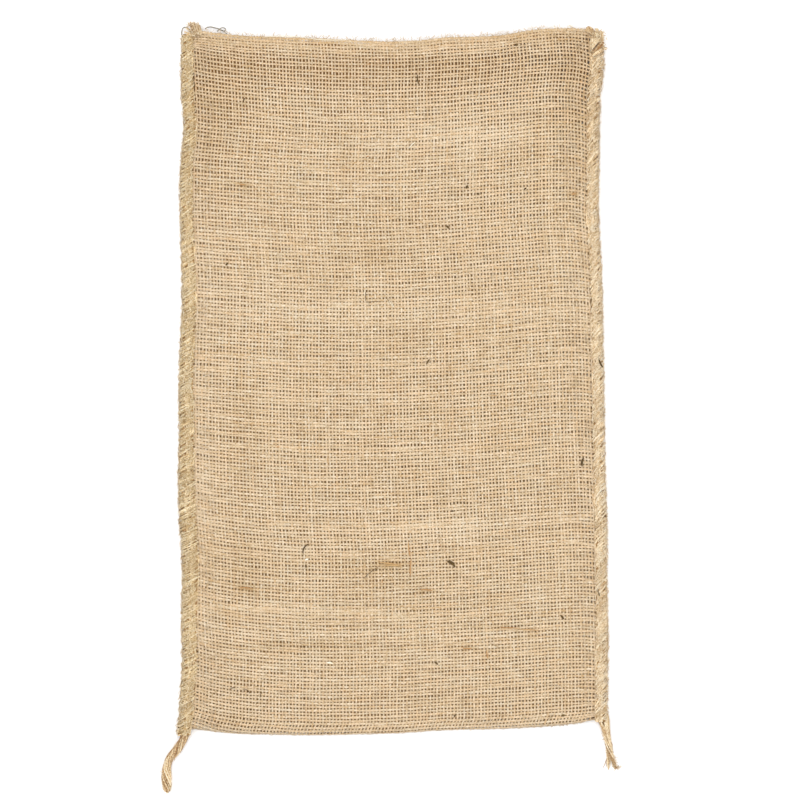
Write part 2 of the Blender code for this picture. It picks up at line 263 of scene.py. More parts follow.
def guide_object(name, points, counts, flip=False):
    """A hidden sheet that strands are laid on: its map is their count, its arrows face out."""
    wide, long = points.shape[:2]
    index = np.arange(wide * long).reshape(wide, long)
    faces = np.stack([index[:-1, :-1], index[:-1, 1:], index[1:, 1:], index[1:, :-1]], axis=-1)
    if flip:
        faces = faces[..., ::-1]
    mesh = bpy.data.meshes.new(name)
    mesh.from_pydata(points.reshape(-1, 3).tolist(), [], faces.reshape(-1, 4).tolist())
    flat = counts.reshape(-1, 2)[faces.reshape(-1)]
    layer = mesh.uv_layers.new(name="count")
    layer.data.foreach_set("uv", flat.ravel().astype(np.float32))
    out = np.cross(np.gradient(points, axis=1), np.gradient(points, axis=0)) * (-1 if flip else 1)
    out /= np.linalg.norm(out, axis=2, keepdims=True) + 1e-12
    arrow = mesh.attributes.new("outward", "FLOAT_VECTOR", "POINT")
    arrow.data.foreach_set("vector", out.reshape(-1).astype(np.float32))
    return new_object(name, mesh)


guide_points, guide_counts = weave_guide()
cloth_guide = guide_object("cloth_guide", guide_points, guide_counts)


def adder(tree):
    """The one way to add a node to a tree: its kind, the values or nodes for its inputs in
    their order (None skips one, and a dict names them), and its own settings."""
    def add(kind, *inputs, **settings):
        node = tree.nodes.new(kind)
        for name, value in settings.items():
            setattr(node, name, value)
        if not (inputs and isinstance(inputs[0], dict)):
            inputs = [dict(enumerate(inputs))]
        for key, value in inputs[0].items():
            if isinstance(value, bpy.types.Node):
                value = next(out for out in value.outputs if out.enabled)
            if isinstance(value, bpy.types.NodeSocket):
                tree.links.new(value, node.inputs[key])
            elif value is not None:
                node.inputs[key].default_value = value
        return node
    return add


def new_tree(name, **inputs):
    """A node tree with named inputs that gives back one mesh. Each input is given its type."""
    tree = bpy.data.node_groups.new(name, "GeometryNodeTree")
    for label, kind in inputs.items():
        tree.interface.new_socket(label.replace("_", " "), in_out="INPUT",
                                  socket_type="NodeSocket" + kind)
    tree.interface.new_socket("Mesh", in_out="OUTPUT", socket_type="NodeSocketGeometry")
    add = adder(tree)
    return tree, add("NodeGroupInput").outputs, add


def end_tree(add, shape, finish):
    """Every tree ends with its instances realized and its material set."""
    whole = add("GeometryNodeRealizeInstances", shape)
    add("NodeGroupOutput", add("GeometryNodeSetMaterial", whole, None, finish))


RING_TURN = 0.5                    # a strand's section is turned this share of a side
LOWEST = 0.00002                   # nothing dips below the surface that the sack lies on


def strand_tree():
    """Lays flat wires (column, row, height) on a guide sheet and spins a strand round each."""
    tree, given, add = new_tree("lay strands", Wires="Geometry", Guide="Object", Width="Float",
                                Thickness="Float", Sides="Int", Finish="Material")
    guide = add("GeometryNodeObjectInfo", given["Guide"],
                transform_space="ORIGINAL").outputs["Geometry"]
    count = add("GeometryNodeInputNamedAttribute", "count", data_type="FLOAT_VECTOR")
    parts = add("ShaderNodeSeparateXYZ", add("GeometryNodeInputPosition"))
    flat = add("ShaderNodeCombineXYZ", parts.outputs[0], parts.outputs[1])
    found = []
    for label, kind in (("position", "FLOAT_VECTOR"), ("outward", "FLOAT_VECTOR"),
                        ("shade", "FLOAT"), ("fullness", "FLOAT")):
        value = add("GeometryNodeInputNamedAttribute", label, data_type=kind)
        found.append(add("GeometryNodeSampleUVSurface", guide, value, count, flat, data_type=kind))
    on_guide, facing, shaded, filled = found
    missed = add("FunctionNodeBooleanMath", on_guide.outputs[1], operation="NOT")
    shape = add("GeometryNodeDeleteGeometry", given["Wires"], missed, domain="POINT")
    girth = add("GeometryNodeInputNamedAttribute", "girth", data_type="FLOAT")
    full = add("ShaderNodeMath", girth, filled, operation="MULTIPLY")
    for label, kind, value in (("facing", "FLOAT_VECTOR", facing), ("shade", "FLOAT", shaded),
                               ("girth", "FLOAT", full)):
        shape = add("GeometryNodeStoreNamedAttribute", shape, None, label, value, data_type=kind,
                    domain="POINT")
    raised = add("ShaderNodeVectorMath", {0: facing, 3: parts.outputs[2]}, operation="SCALE")
    spot = add("ShaderNodeVectorMath", on_guide.outputs[0], raised, operation="ADD")
    line = add("GeometryNodeMeshToCurve", add("GeometryNodeSetPosition", shape, None, spot))
    arrow = add("GeometryNodeInputNamedAttribute", "facing", data_type="FLOAT_VECTOR")
    turned = add("GeometryNodeSetCurveNormal", line, None, arrow, mode="FREE")
    ring = add("GeometryNodeCurvePrimitiveCircle", {0: given["Sides"], 4: 0.5})
    marked = add("GeometryNodeStoreNamedAttribute", ring, None, "turn",
                 add("GeometryNodeInputIndex"), data_type="FLOAT", domain="POINT")
    half_step = add("ShaderNodeMath", 2 * math.pi * RING_TURN, given["Sides"], operation="DIVIDE")
    spin = add("ShaderNodeCombineXYZ", {2: half_step})
    rolled = add("GeometryNodeTransform", marked, None, spin)
    flattened = add("ShaderNodeCombineXYZ", given["Thickness"], given["Width"], 1.0)
    section = add("GeometryNodeTransform", {0: rolled, 3: flattened})
    spun = add("GeometryNodeCurveToMesh", turned, section, girth, True)
    bare = add("GeometryNodeRemoveAttribute", spun, "facing")
    low = add("ShaderNodeSeparateXYZ", add("GeometryNodeInputPosition"))
    rested = add("ShaderNodeMath", low.outputs[2], LOWEST, operation="MAXIMUM")
    place = add("ShaderNodeCombineXYZ", low.outputs[0], low.outputs[1], rested)
    resting = add("GeometryNodeSetPosition", bare, None, place)
    end_tree(add, add("GeometryNodeSetShadeSmooth", resting), given["Finish"])
    return tree


lay_strands = strand_tree()


def start_strands(add, strands, points):
    """Loose points for a number of strands. Gives them, and each one's strand, its step
    along it, its share of the way and how far that is from the middle."""
    total = add("FunctionNodeIntegerMath", strands, points, operation="MULTIPLY")
    loose = add("GeometryNodeMeshLine", {0: total, 3: (0, 0, 0)})
    index = add("GeometryNodeInputIndex")
    strand = add("FunctionNodeIntegerMath", index, points, operation="DIVIDE")
    step = add("FunctionNodeIntegerMath", index, points, operation="MODULO")
    last = add("FunctionNodeIntegerMath", points, 1, operation="SUBTRACT")
    way = add("ShaderNodeMath", step, last, operation="DIVIDE")
    return loose, strand, step, way, add("ShaderNodeMath", way, 0.5, operation="SUBTRACT")


def end_strands(add, given, started, points, place, tone, girth, thickness, sides):
    """Puts the points in place, marks them, parts one strand from the next, and lays all on
    the guide."""
    loose, strand, step = started[:3]
    shape = add("GeometryNodeSetPosition", loose, None, add("ShaderNodeCombineXYZ", *place))
    lay = add("ShaderNodeCombineXYZ", 0.0, step, strand)
    for label, kind, value in (("lay", "FLOAT_VECTOR", lay), ("tone", "FLOAT", tone),
                               ("girth", "FLOAT", girth)):
        shape = add("GeometryNodeStoreNamedAttribute", shape, None, label, value, data_type=kind,
                    domain="POINT")
    ends = add("GeometryNodeInputMeshEdgeVertices").outputs
    here, there = [add("FunctionNodeIntegerMath", end, points, operation="DIVIDE")
                   for end in (ends[0], ends[1])]
    between = add("FunctionNodeCompare", {2: here, 3: there}, data_type="INT",
                  operation="NOT_EQUAL")
    cut = add("GeometryNodeDeleteGeometry", shape, between, domain="EDGE")
    end_tree(add, add("GeometryNodeGroup", cut, given["Guide"], given["Width"], thickness, sides,
                      given["Finish"], node_tree=lay_strands), given["Finish"])


def weave_tree():
    """The weave: yarns side by side, each over one crossing yarn and under the next."""
    tree, given, add = new_tree(
        "plain weave", Guide="Object", Yarns="Int", First_yarn="Int", Crossings="Int",
        First_crossing="Int", Up_the_sack="Bool", Width="Float", Thickness="Float", Lift="Float",
        Column_wander="Float", Row_wander="Float", Slubs="Float", Lightness="Float",
        Sides="Int", Seed="Float", Finish="Material")
    started = start_strands(add, given["Yarns"], given["Crossings"])
    own, crossed = [add("FunctionNodeIntegerMath", number, given[first], operation="ADD")
                    for number, first in ((started[1], "First yarn"),
                                          (started[2], "First crossing"))]
    column, row = [add("GeometryNodeSwitch", given["Up the sack"], *pair, input_type="INT")
                   for pair in ((crossed, own), (own, crossed))]
    spot = add("ShaderNodeCombineXYZ", column, row, 1.7)
    flat = []
    for number, stretch, reach, shift, full in (
            (column, (3.71, 0.055, 1), "Column wander", 0.5, COUNT_ACROSS),
            (row, (0.09, 3.71, 9), "Row wander", SPARE_ROWS + 0.5, COUNT_ALONG)):
        aside = add("ShaderNodeVectorMath", spot, stretch, operation="MULTIPLY")
        noise = add("ShaderNodeTexNoise", aside, None, 1.0, 3.0, 0.6)
        drift = add("ShaderNodeMath", noise.outputs[0], 0.5, operation="SUBTRACT")
        wander = add("ShaderNodeMath", drift, given[reach], operation="MULTIPLY")
        moved = add("ShaderNodeMath", number, wander, operation="ADD")
        centred = add("ShaderNodeMath", moved, shift, operation="ADD")
        flat.append(add("ShaderNodeMath", centred, full, operation="DIVIDE"))
    both = add("FunctionNodeIntegerMath", column, row, operation="ADD")
    odd = add("FunctionNodeIntegerMath", both, 2, operation="MODULO")
    over = add("FunctionNodeCompare", {2: odd, 3: 0}, data_type="INT", operation="EQUAL")
    up = add("FunctionNodeBooleanMath", over, given["Up the sack"], operation="XNOR")
    high = add("ShaderNodeMath", given["Thickness"], given["Lift"], operation="MULTIPLY")
    low = add("ShaderNodeMath", high, -1.0, operation="MULTIPLY")
    lift = add("GeometryNodeSwitch", up, low, high, input_type="FLOAT")
    seeded = add("ShaderNodeCombineXYZ", own, crossed, given["Seed"])
    noises = []
    for stretch, rough in (((5.37, 0.045, 1), 0.6), ((7.13, 0.26, 5), 0.5)):
        place = add("ShaderNodeVectorMath", seeded, stretch, operation="MULTIPLY")
        noises.append(add("ShaderNodeTexNoise", place, None, 1.0, 2.0, rough).outputs[0])
    tone = add("ShaderNodeMath", noises[0], given["Lightness"], operation="ADD")
    swell = add("ShaderNodeMath", noises[1], 0.5, operation="SUBTRACT")
    build = add("FunctionNodeRandomValue", {2: 0.9, 3: 1.12, 7: own, 8: 29}, data_type="FLOAT")
    girth = add("ShaderNodeMath", swell, given["Slubs"], build.outputs[1],
                operation="MULTIPLY_ADD")
    end_strands(add, given, started, given["Crossings"], (*flat, lift), tone, girth,
                given["Thickness"], given["Sides"])
    return tree


plain_weave = weave_tree()


def fibre_tree():
    """Stray fibres that have worked loose: short bent hairs scattered over part of a guide."""
    tree, given, add = new_tree(
        "stray fibres", Guide="Object", Fibres="Int", Points="Int", Left="Float", Right="Float",
        Low="Float", High="Float", Map_width="Float", Map_length="Float", Shortest="Float",
        Longest="Float", Heading="Float", Turning="Float", Curl="Float", Lowest="Float",
        Highest="Float", Width="Float", Seed="Int", Finish="Material")
    started = start_strands(add, given["Fibres"], given["Points"])
    fibre, from_middle = started[1], started[4]
    limits = ((given["Left"], given["Right"]), (given["Low"], given["High"]),
              (given["Shortest"], given["Longest"]), (given["Lowest"], given["Highest"]),
              (-1.0, 1.0), (-1.0, 1.0), (-0.1, 1.0), (0.6, 1.4))
    drawn = []
    for number, (least, most) in enumerate(limits):
        seed = add("FunctionNodeIntegerMath", given["Seed"], 13 * number, operation="ADD")
        drawn.append(add("FunctionNodeRandomValue", {2: least, 3: most, 7: fibre, 8: seed},
                         data_type="FLOAT").outputs[1])
    across, along, length, rise, turned, curled, tone, girth = drawn
    heading = add("ShaderNodeMath", turned, given["Turning"], given["Heading"],
                  operation="MULTIPLY_ADD")
    curl = add("ShaderNodeMath", curled, given["Curl"], operation="MULTIPLY")
    angle = add("ShaderNodeMath", curl, from_middle, heading, operation="MULTIPLY_ADD")
    run = add("ShaderNodeMath", from_middle, length, operation="MULTIPLY")
    flat = []
    for start, part, full in ((across, "SINE", "Map width"), (along, "COSINE", "Map length")):
        share = add("ShaderNodeMath", angle, operation=part)
        reach = add("ShaderNodeMath", share, run, operation="MULTIPLY")
        mapped = add("ShaderNodeMath", reach, given[full], operation="DIVIDE")
        flat.append(add("ShaderNodeMath", mapped, start, operation="ADD"))
    arch = add("ShaderNodeMath", from_middle, from_middle, operation="MULTIPLY")
    bowed = add("ShaderNodeMath", arch, -2.4, 1.0, operation="MULTIPLY_ADD")
    height = add("ShaderNodeMath", rise, bowed, operation="MULTIPLY")
    end_strands(add, given, started, given["Points"], (*flat, height), tone, girth,
                given["Width"], 3)
    return tree


stray_fibres = fibre_tree()
FIBRE_POINTS = 3
FIBRE_WIDTH = 0.26 * MM            # drawn as coarse as it needs to show; a real one is finer


def read_all(items, key, wide=1, kind=np.float32):
    """All values of one kind in a mesh, as an array."""
    values = np.zeros(len(items) * wide, kind)
    items.foreach_get(key, values)
    return values


def mark(mesh, label, values):
    """Writes one value for each point of a mesh."""
    layer = mesh.attributes.new(label, "FLOAT", "POINT")
    layer.data.foreach_set("value", np.asarray(values, np.float32))


def unroll(mesh, strands, steps, sides):
    """Gives every strand its own strip of the bake map, and every step along it a length. lay
    keeps a point's side of the strand, its step and its strand, and under how low it is."""
    lay = read_all(mesh.attributes["lay"].data, "vector", 3).reshape(-1, 3)
    turn = read_all(mesh.attributes["turn"].data, "value")
    corner = read_all(mesh.loops, "vertex_index", kind=np.int32)
    starts = read_all(mesh.polygons, "loop_start", kind=np.int32)
    sizes = read_all(mesh.polygons, "loop_total", kind=np.int32)
    around, along, strand = turn[corner], lay[corner, 1], lay[corner, 2]
    face = np.repeat(np.arange(len(starts)), sizes)
    cap = np.maximum.reduceat(along, starts) == np.minimum.reduceat(along, starts)
    wraps = ((np.maximum.reduceat(around, starts) == sides - 1)
             & (np.minimum.reduceat(around, starts) == 0) & ~cap)
    around = np.where(wraps[face] & (around == 0), sides, around)
    along = np.where(cap[face] & (around >= sides / 2), along + 0.4, along)
    flat = np.stack([(strand + 0.04 + 0.92 * around / sides) / strands,
                     (along + 0.3) / (steps + 0.7)], axis=1)
    layer = mesh.uv_layers.new(name="OFBake")
    layer.data.foreach_set("uv", flat.ravel().astype(np.float32))
    angle = 2 * math.pi * (turn + RING_TURN) / sides
    lay[:, 0] = np.sin(angle)
    # under: how far round towards a strand's underside a point lies; the materials use it to paint
    # shade there
    mark(mesh, "under", 0.5 - 0.5 * np.cos(angle))
    mesh.attributes["lay"].data.foreach_set("vector", lay.ravel())
    mesh.attributes.remove(mesh.attributes["turn"])


def grow(name, tree, strands, steps, sides=4, mesh=None, **inputs):
    """Runs a tree and gives its result as a plain object, with the strands' own bake map."""
    holder = new_object(name, mesh or bpy.data.meshes.new(name))
    modifier = holder.modifiers.new(name, "NODES")
    modifier.node_group = tree
    inputs["sides"] = sides
    for item in tree.interface.items_tree:
        key = item.name.lower().replace(" ", "_")
        if item.in_out == "INPUT" and key in inputs:
            modifier[item.identifier] = inputs[key]
    seen = holder.evaluated_get(bpy.context.evaluated_depsgraph_get())
    made = bpy.data.meshes.new_from_object(seen)
    made.name = name
    bpy.data.objects.remove(holder)
    unroll(made, strands, steps, sides)
    return new_object(name, made)


def give(pieces, node_name=None):
    """Puts pieces on the sack's body, over the solid that they replace."""
    for piece in pieces:
        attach(piece, "root")
        if node_name:
            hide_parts(node_name)


def linear(hex_colour):
    """An sRGB hex colour as the linear values that the shaders take."""
    parts = [int(hex_colour[i:i + 2], 16) / 255 for i in (1, 3, 5)]
    return [c / 12.92 if c <= 0.04045 else ((c + 0.055) / 1.055) ** 2.4 for c in parts] + [1.0]


def new_material(name):
    material = bpy.data.materials.new(name)
    material.use_nodes = True
    material.node_tree.nodes.clear()
    return material, adder(material.node_tree)


def colour_ramp(node, stops):
    """Sets a ramp's ends, and a middle if there is one, from (place, hex colour) pairs."""
    for element, (place, colour) in zip(node.color_ramp.elements, (stops[0], stops[-1])):
        element.position, element.color = place, linear(colour)
    for place, colour in stops[1:-1]:
        node.color_ramp.elements.new(place).color = linear(colour)


def spun_jute(name, colours, fleck, step_mm, felted=0.4):
    """Softly spun retted jute, unbleached: matt and dry, streaked along the strand from
    grey-straw to pale gold, with a rusty fleck of bark here and there and a faint silky edge.
    The side of each strand that faces in is multiplied browner, which is painted shade."""
    material, add = new_material(name)
    tone = add("ShaderNodeAttribute", attribute_name="tone").outputs["Fac"]
    shade = add("ShaderNodeAttribute", attribute_name="shade").outputs["Fac"]
    lay = add("ShaderNodeAttribute", attribute_name="lay").outputs["Vector"]
    noises = []
    for stretch, detail, rough in (((2.0, 0.16 * step_mm, 5.31), 3.0, 0.65),
                                   ((4.0, 0.62 * step_mm, 9.17), 4.0, 0.65),
                                   ((1.0, 0.21 * step_mm, 3.77), 2.0, None),
                                   ((0.0, 0.035 * step_mm, 3.3), 2.0, None)):
        place = add("ShaderNodeVectorMath", lay, stretch, operation="MULTIPLY")
        noises.append(add("ShaderNodeTexNoise", place, None, 1.0, detail, rough).outputs[0])
    streak = add("ShaderNodeMath", noises[0], 0.9, -0.45, operation="MULTIPLY_ADD")
    fibre = add("ShaderNodeMath", noises[1], 1.6, streak, operation="MULTIPLY_ADD")
    own = add("ShaderNodeMath", tone, 0.5, fibre, operation="MULTIPLY_ADD")
    mixed = add("ShaderNodeMath", own, 0.55 + 0.5 * felted, operation="SUBTRACT")
    local = add("ShaderNodeMath", shade, mixed, operation="ADD")
    spot = add("ShaderNodeTexCoord").outputs["Object"]
    felt = add("ShaderNodeTexNoise", spot, None, 1000.0, 2.0, 0.6).outputs[0]
    ramp = add("ShaderNodeValToRGB", add("ShaderNodeMath", felt, felted, local,
                                         operation="MULTIPLY_ADD"))
    colour_ramp(ramp, ((0.15, colours[0]), (0.5, colours[1]), (0.85, colours[2])))
    hue = add("ShaderNodeMapRange", noises[3], 0.35, 0.65)
    tint = add("ShaderNodeMix", {0: hue, 6: linear("#FFFCF2"), 7: linear("#F9FEFC")},
               data_type="RGBA")
    tinted = add("ShaderNodeMix", {0: 1.0, 6: ramp.outputs[0], 7: tint.outputs[2]},
                 data_type="RGBA", blend_type="MULTIPLY").outputs[2]
    # painted shade: the side of each strand turned away from its outward arrow, where the crossing
    # yarns and the other layer shade it, is multiplied towards brown #D2AE78
    under = add("ShaderNodeAttribute", attribute_name="under").outputs["Fac"]
    inward = add("ShaderNodeMapRange", under, 0.5, 0.9)
    inner = add("ShaderNodeMix", {0: 1.0, 6: tinted, 7: linear("#D2AE78")},
                data_type="RGBA", blend_type="MULTIPLY")
    with_underside_shade = add("ShaderNodeMix", {0: inward, 6: tinted, 7: inner.outputs[2]},
                  data_type="RGBA")
    rare = add("ShaderNodeMapRange", noises[2], 0.7, 0.78)
    stained = add("ShaderNodeMix", {0: rare, 6: with_underside_shade.outputs[2], 7: linear(fleck)},
                  data_type="RGBA")
    relief = add("ShaderNodeMath", felt, felted, noises[1], operation="MULTIPLY_ADD")
    bump = add("ShaderNodeBump", {"Strength": 0.5, "Distance": 0.0003, "Height": relief})
    add("ShaderNodeOutputMaterial", add("ShaderNodeBsdfPrincipled", {
        "Base Color": stained.outputs[2], "Roughness": 0.86, "IOR": 1.5, "Specular IOR Level": 0.25,
        "Sheen Weight": 0.15, "Sheen Roughness": 0.5, "Subsurface Weight": 0.3,
        "Subsurface Radius": (1.0, 1.0, 1.0), "Subsurface Scale": 0.0008, "Normal": bump}))
    return material


cloth_jute = spun_jute("spun_jute_cloth", ("#B09065", "#D1B799", "#E5D4BF"), "#A8702F", 2.5)

PATCHES = (  # where the cloth differs: x, y, reach across, reach along, lighter by, fuller by
    (-128, 190, 22, 50, -0.08, -0.10), (134, 190, 18, 50, -0.10, -0.10),
    (0, 222, 150, 10, -0.06, -0.10), (82, 35, 22, 24, -0.02, 0.08), (45, 173, 36, 11, 0.07, 0.10),
    (0, 49, 120, 7, 0.05, 0.08), (34, -107, 32, 7, 0.07, 0.10), (0, -182, 120, 5, 0.04, 0.06),
    (-10, 91, 17, 7, -0.08, -0.04), (-103, -136, 17, 22, -0.07, -0.05),
    (-15, -139, 18, 11, -0.07, -0.04), (-108, -40, 8, 25, -0.06, -0.06),
    (-56, -189, 62, 2.5, -0.10, -0.10), (-138, 20, 7, 90, 0.04, 0.10),
    (-135, -128, 7, 38, -0.02, 0.18), (0, 243, 150, 4.5, -0.13, -0.03),
    (-0.7, -132, 9, 1.4, -0.40, 0.12), (13, -128, 1.3, 13, -0.30, 0.05),
    (-103, -148.6, 5, 1.2, -0.35, 0.05), (24.5, -150, 5, 1.2, -0.30, 0.05),
    (91, -178, 17, 1.1, -0.18, 0.0), (54, -191.5, 3.5, 1.1, -0.30, 0.0),
    (-100, -162, 32, 1.8, 0.04, 0.28), (-45, -165, 30, 1.8, 0.04, 0.28),
    (-8, -168, 22, 1.8, 0.04, 0.24), (-106, 137.5, 2.4, 1.4, -0.4, 0.05),
    (129.6, 131, 2.0, 1.4, -0.4, 0.05))
ROW_FULL = (     # row, fuller by
    (0, 0.08), (1.5, -0.05), (3.4, -0.10), (5.0, -0.15), (14, -0.10), (30, -0.01), (90, -0.02),
    (150, -0.05), (193, -0.10))
BACK_FULLER = 0.6                  # the back layer is pressed flatter, its yarns wider


def shade_guide(guide, strength=1.0, rows=None):
    """Writes the patches on a guide sheet, for the strands laid on it to take up."""
    spots = read_all(guide.data.vertices, "co", 3).reshape(-1, 3).astype(float) / MM
    shade = np.zeros(len(spots))
    full = np.ones(len(spots))
    for x, y, across, along, lighter, fuller in PATCHES:
        near = ((spots[:, 0] - x) / across) ** 2 + ((spots[:, 1] - y) / along) ** 2
        shade += strength * lighter * np.exp(-near * 0.7)
        full += strength * fuller * np.exp(-near * 0.7)
    if rows is not None:
        full += table_at(ROW_FULL, np.minimum(rows, ALL_ROWS - 1 - rows))
        full += BACK_FULLER * ease(FRONT_ROWS, FRONT_ROWS + 6, rows)
    mark(guide.data, "shade", shade)
    mark(guide.data, "fullness", full)


shade_guide(cloth_guide, rows=np.tile(ROW_STATIONS, len(guide_points)))
LEFT_YARNS = 63
YARNS = (        # name, up the sack, first yarn, yarns, first crossing, crossings, sides
    ("yarns_up_left", True, 0, LEFT_YARNS, -1, ALL_ROWS + 2, 4),
    ("yarns_up_right", True, LEFT_YARNS, ALL_COLUMNS - LEFT_YARNS, -1, ALL_ROWS + 2, 4),
    ("yarns_across_front", False, 0, FRONT_ROWS, 0, ALL_COLUMNS, 4),
    ("yarns_across_back", False, FRONT_ROWS, ALL_ROWS - FRONT_ROWS, 0, ALL_COLUMNS, 3))
UP_SPUN = dict(width=1.77 * MM, lightness=0.01, slubs=0.9, seed=3.1)
ACROSS_SPUN = dict(width=2.2 * MM, lightness=-0.01, slubs=1.4, seed=8.6)
yarns = [grow(name, plain_weave, count, crossings, sides, guide=cloth_guide, yarns=count,
              first_yarn=first, crossings=crossings, first_crossing=begin, up_the_sack=up,
              thickness=0.8 * MM, lift=0.26, column_wander=0.5, row_wander=1.0,
              finish=cloth_jute, **(UP_SPUN if up else ACROSS_SPUN))
         for name, up, first, count, begin, crossings, sides in YARNS]


def scatter(name, count, guide, area, size, lengths, heights, turning, curl, seed, finish,
            width=FIBRE_WIDTH, heading=0.0):
    """Stray fibres over part of a guide: its area is left, right, low and high in its map,
    which is so wide and long, and their lengths and heights are in mm."""
    return grow(name, stray_fibres, count, FIBRE_POINTS, 3, guide=guide, fibres=count,
                points=FIBRE_POINTS, left=area[0], right=area[1], low=area[2], high=area[3],
                map_width=size[0], map_length=size[1], shortest=lengths[0] * MM,
                longest=lengths[1] * MM, lowest=heights[0] * MM, highest=heights[1] * MM,
                heading=heading, turning=turning, curl=curl, width=width, seed=seed,
                finish=finish)


FUZZ = (         # name, fibres, columns, rows, lengths and heights in mm, turning, seed
    ("fibres_on_front", 1500, (6, 126), (0, FRONT_ROWS - 2), (3, 11), (0.45, 0.9), 1.57, 4),
    ("fibres_beside_left_seam", 300, (5, 10), (1, FRONT_ROWS), (3, 9), (0.5, 1.6), 1.57, 14),
    ("fibres_beside_right_seam", 300, (117, 124), (1, FRONT_ROWS), (3, 9), (0.5, 1.6), 1.57, 24),
    ("hairs_at_mouth", 420, (8, 124), (-1.2, 0.5), (2.5, 6.0), (0.0, 0.6), 1.2, 34),
    ("hairs_at_fold", 220, (8, 120), (FRONT_ROWS - 2, FRONT_ROWS + 2), (2.0, 6.0), (0.6, 1.4),
     1.57, 44))
fuzz = [scatter(name, count, cloth_guide,
                [(c + 0.5) / COUNT_ACROSS for c in columns]
                + [(r + SPARE_ROWS) / COUNT_ALONG for r in rows],
                (COUNT_ACROSS * COLUMN_PITCH, COUNT_ALONG * ROW_PITCH),
                lengths, heights, turning, 1.6, seed, cloth_jute)
        for name, count, columns, rows, lengths, heights, turning, seed in FUZZ]
give(yarns + fuzz, "sack_cloth")


# ---------------------------------------------------------------------------------------
# The seams: each side is whipped from the fold to the mouth with soft jute twine. Its
# plies lie open, so a stitch is ten slanting threads that wrap the edge from front to
# back, and beside them, over the needle holes, run the twine's straighter, smoother plies.
# ---------------------------------------------------------------------------------------
TWINE_INSET = 0.55 * MM            # a thread's middle lies this far inside the seam's solid
LEFT_OUT = (     # and stands out from the solid's edge: y, by mm
    (-250, -0.4), (-190, -0.6), (-160, -0.8), (-110, -0.4), (-70, -0.1), (-46, -0.8), (-24, -0.6),
    (0, 0.0), (170, -0.1), (185, 0.6), (200, 1.8), (215, 1.8), (235, 1.1))
RIGHT_OUT = (
    (-245, 0.5), (-160, -0.3), (-100, 0.2), (0, 0.3), (22, 0.0), (60, 0.5), (130, 0.3), (158, 0.1),
    (180, 0.8), (205, 1.0), (235, -0.1))
SEAM_BAND = 10.2 * MM              # how far a seam's threads reach in from the edge
LEFT_BAND = (    # and by how much more or less along it: y, times
    (-250, 1.05), (-200, 1.14), (-140, 1.26), (-90, 1.30), (-40, 1.14), (40, 1.08), (95, 1.0),
    (150, 0.93), (250, 0.96))
RIGHT_BAND = ((-250, 0.88), (100, 0.84), (170, 0.92), (250, 1.0))
SEAM_ROUND = 2.4 * MM
SEAM_ENDS = 0.6 * MM               # a seam's guide ends this far inside its solid
SEAM_STATIONS = 320
SCALLOP = 0.15 * MM                # the edge swells at each stitch, and wanders a little
THREADS = 10                       # threads that one stitch shows
THREAD_STEPS = 10
SPARE_STITCHES = 2                 # slanting threads start beyond both ends of a seam
STITCH_REACH = (0.05, 0.95)        # share of the way round from front to back
STITCH_DIVE = -0.9 * MM            # a thread's ends dive into the cloth
STITCH_RISE = 0.35 * MM            # and the rest rides this much higher or lower
PLIES = 6                          # along each face of a seam, this many mm apart
PLY_GAP = 0.7
PLY_STEP = 1.9 * MM


def seam_section(height):
    """Half a seam's outline from its inner front line, over the edge, to its back line, as
    (distance in from the edge, height) points."""
    top = height - TWINE_INSET
    line = [(SEAM_BAND - i * (SEAM_BAND - TWINE_INSET - SEAM_ROUND) / 6, top) for i in range(7)]
    for a in np.radians((22, 45, 68, 90)):
        line.append((TWINE_INSET + SEAM_ROUND * (1 - math.sin(a)),
                     top - SEAM_ROUND * (1 - math.cos(a))))
    return line + [(d, height - z) for d, z in line[::-1]]


def seam_guide(side, node_name, out_by, band_by):
    """The hidden C-shaped sheet that a seam's threads are laid on, its width round the
    section and its length."""
    low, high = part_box(node_name)
    outside = skin(node_name)
    stations = np.linspace(low.y + SEAM_ENDS, high.y - SEAM_ENDS, SEAM_STATIONS)
    edge = []
    for y in stations:
        hit = outside.ray_cast(Vector((side * FAR, y, high.z / 2)), Vector((-side, 0, 0)))[0]
        out = table_at(out_by, y / MM) * MM
        out += SCALLOP * (math.sin(2 * math.pi * (y - low.y) / STITCH_PITCH + 1.2)
                          + 0.5 * math.sin(y / 0.0043 + side) + 0.5 * math.sin(y / 0.0101))
        edge.append((hit.x if hit else edge[-1] - side * out) + side * out)
    section = seam_section(high.z)
    round_it = run_of(np.array(section))
    bands = table_at(band_by, stations / MM)
    points = np.array([[(x - side * d * band, y, z) for x, y, band in
                        zip(edge, stations, bands)] for d, z in section])
    counts = np.array([[(u, v) for v in np.linspace(0, 1, SEAM_STATIONS)]
                       for u in round_it / round_it[-1]])
    guide = guide_object(node_name + "_guide", points, counts, flip=side > 0)
    return guide, round_it[-1], high.y - low.y - 2 * SEAM_ENDS


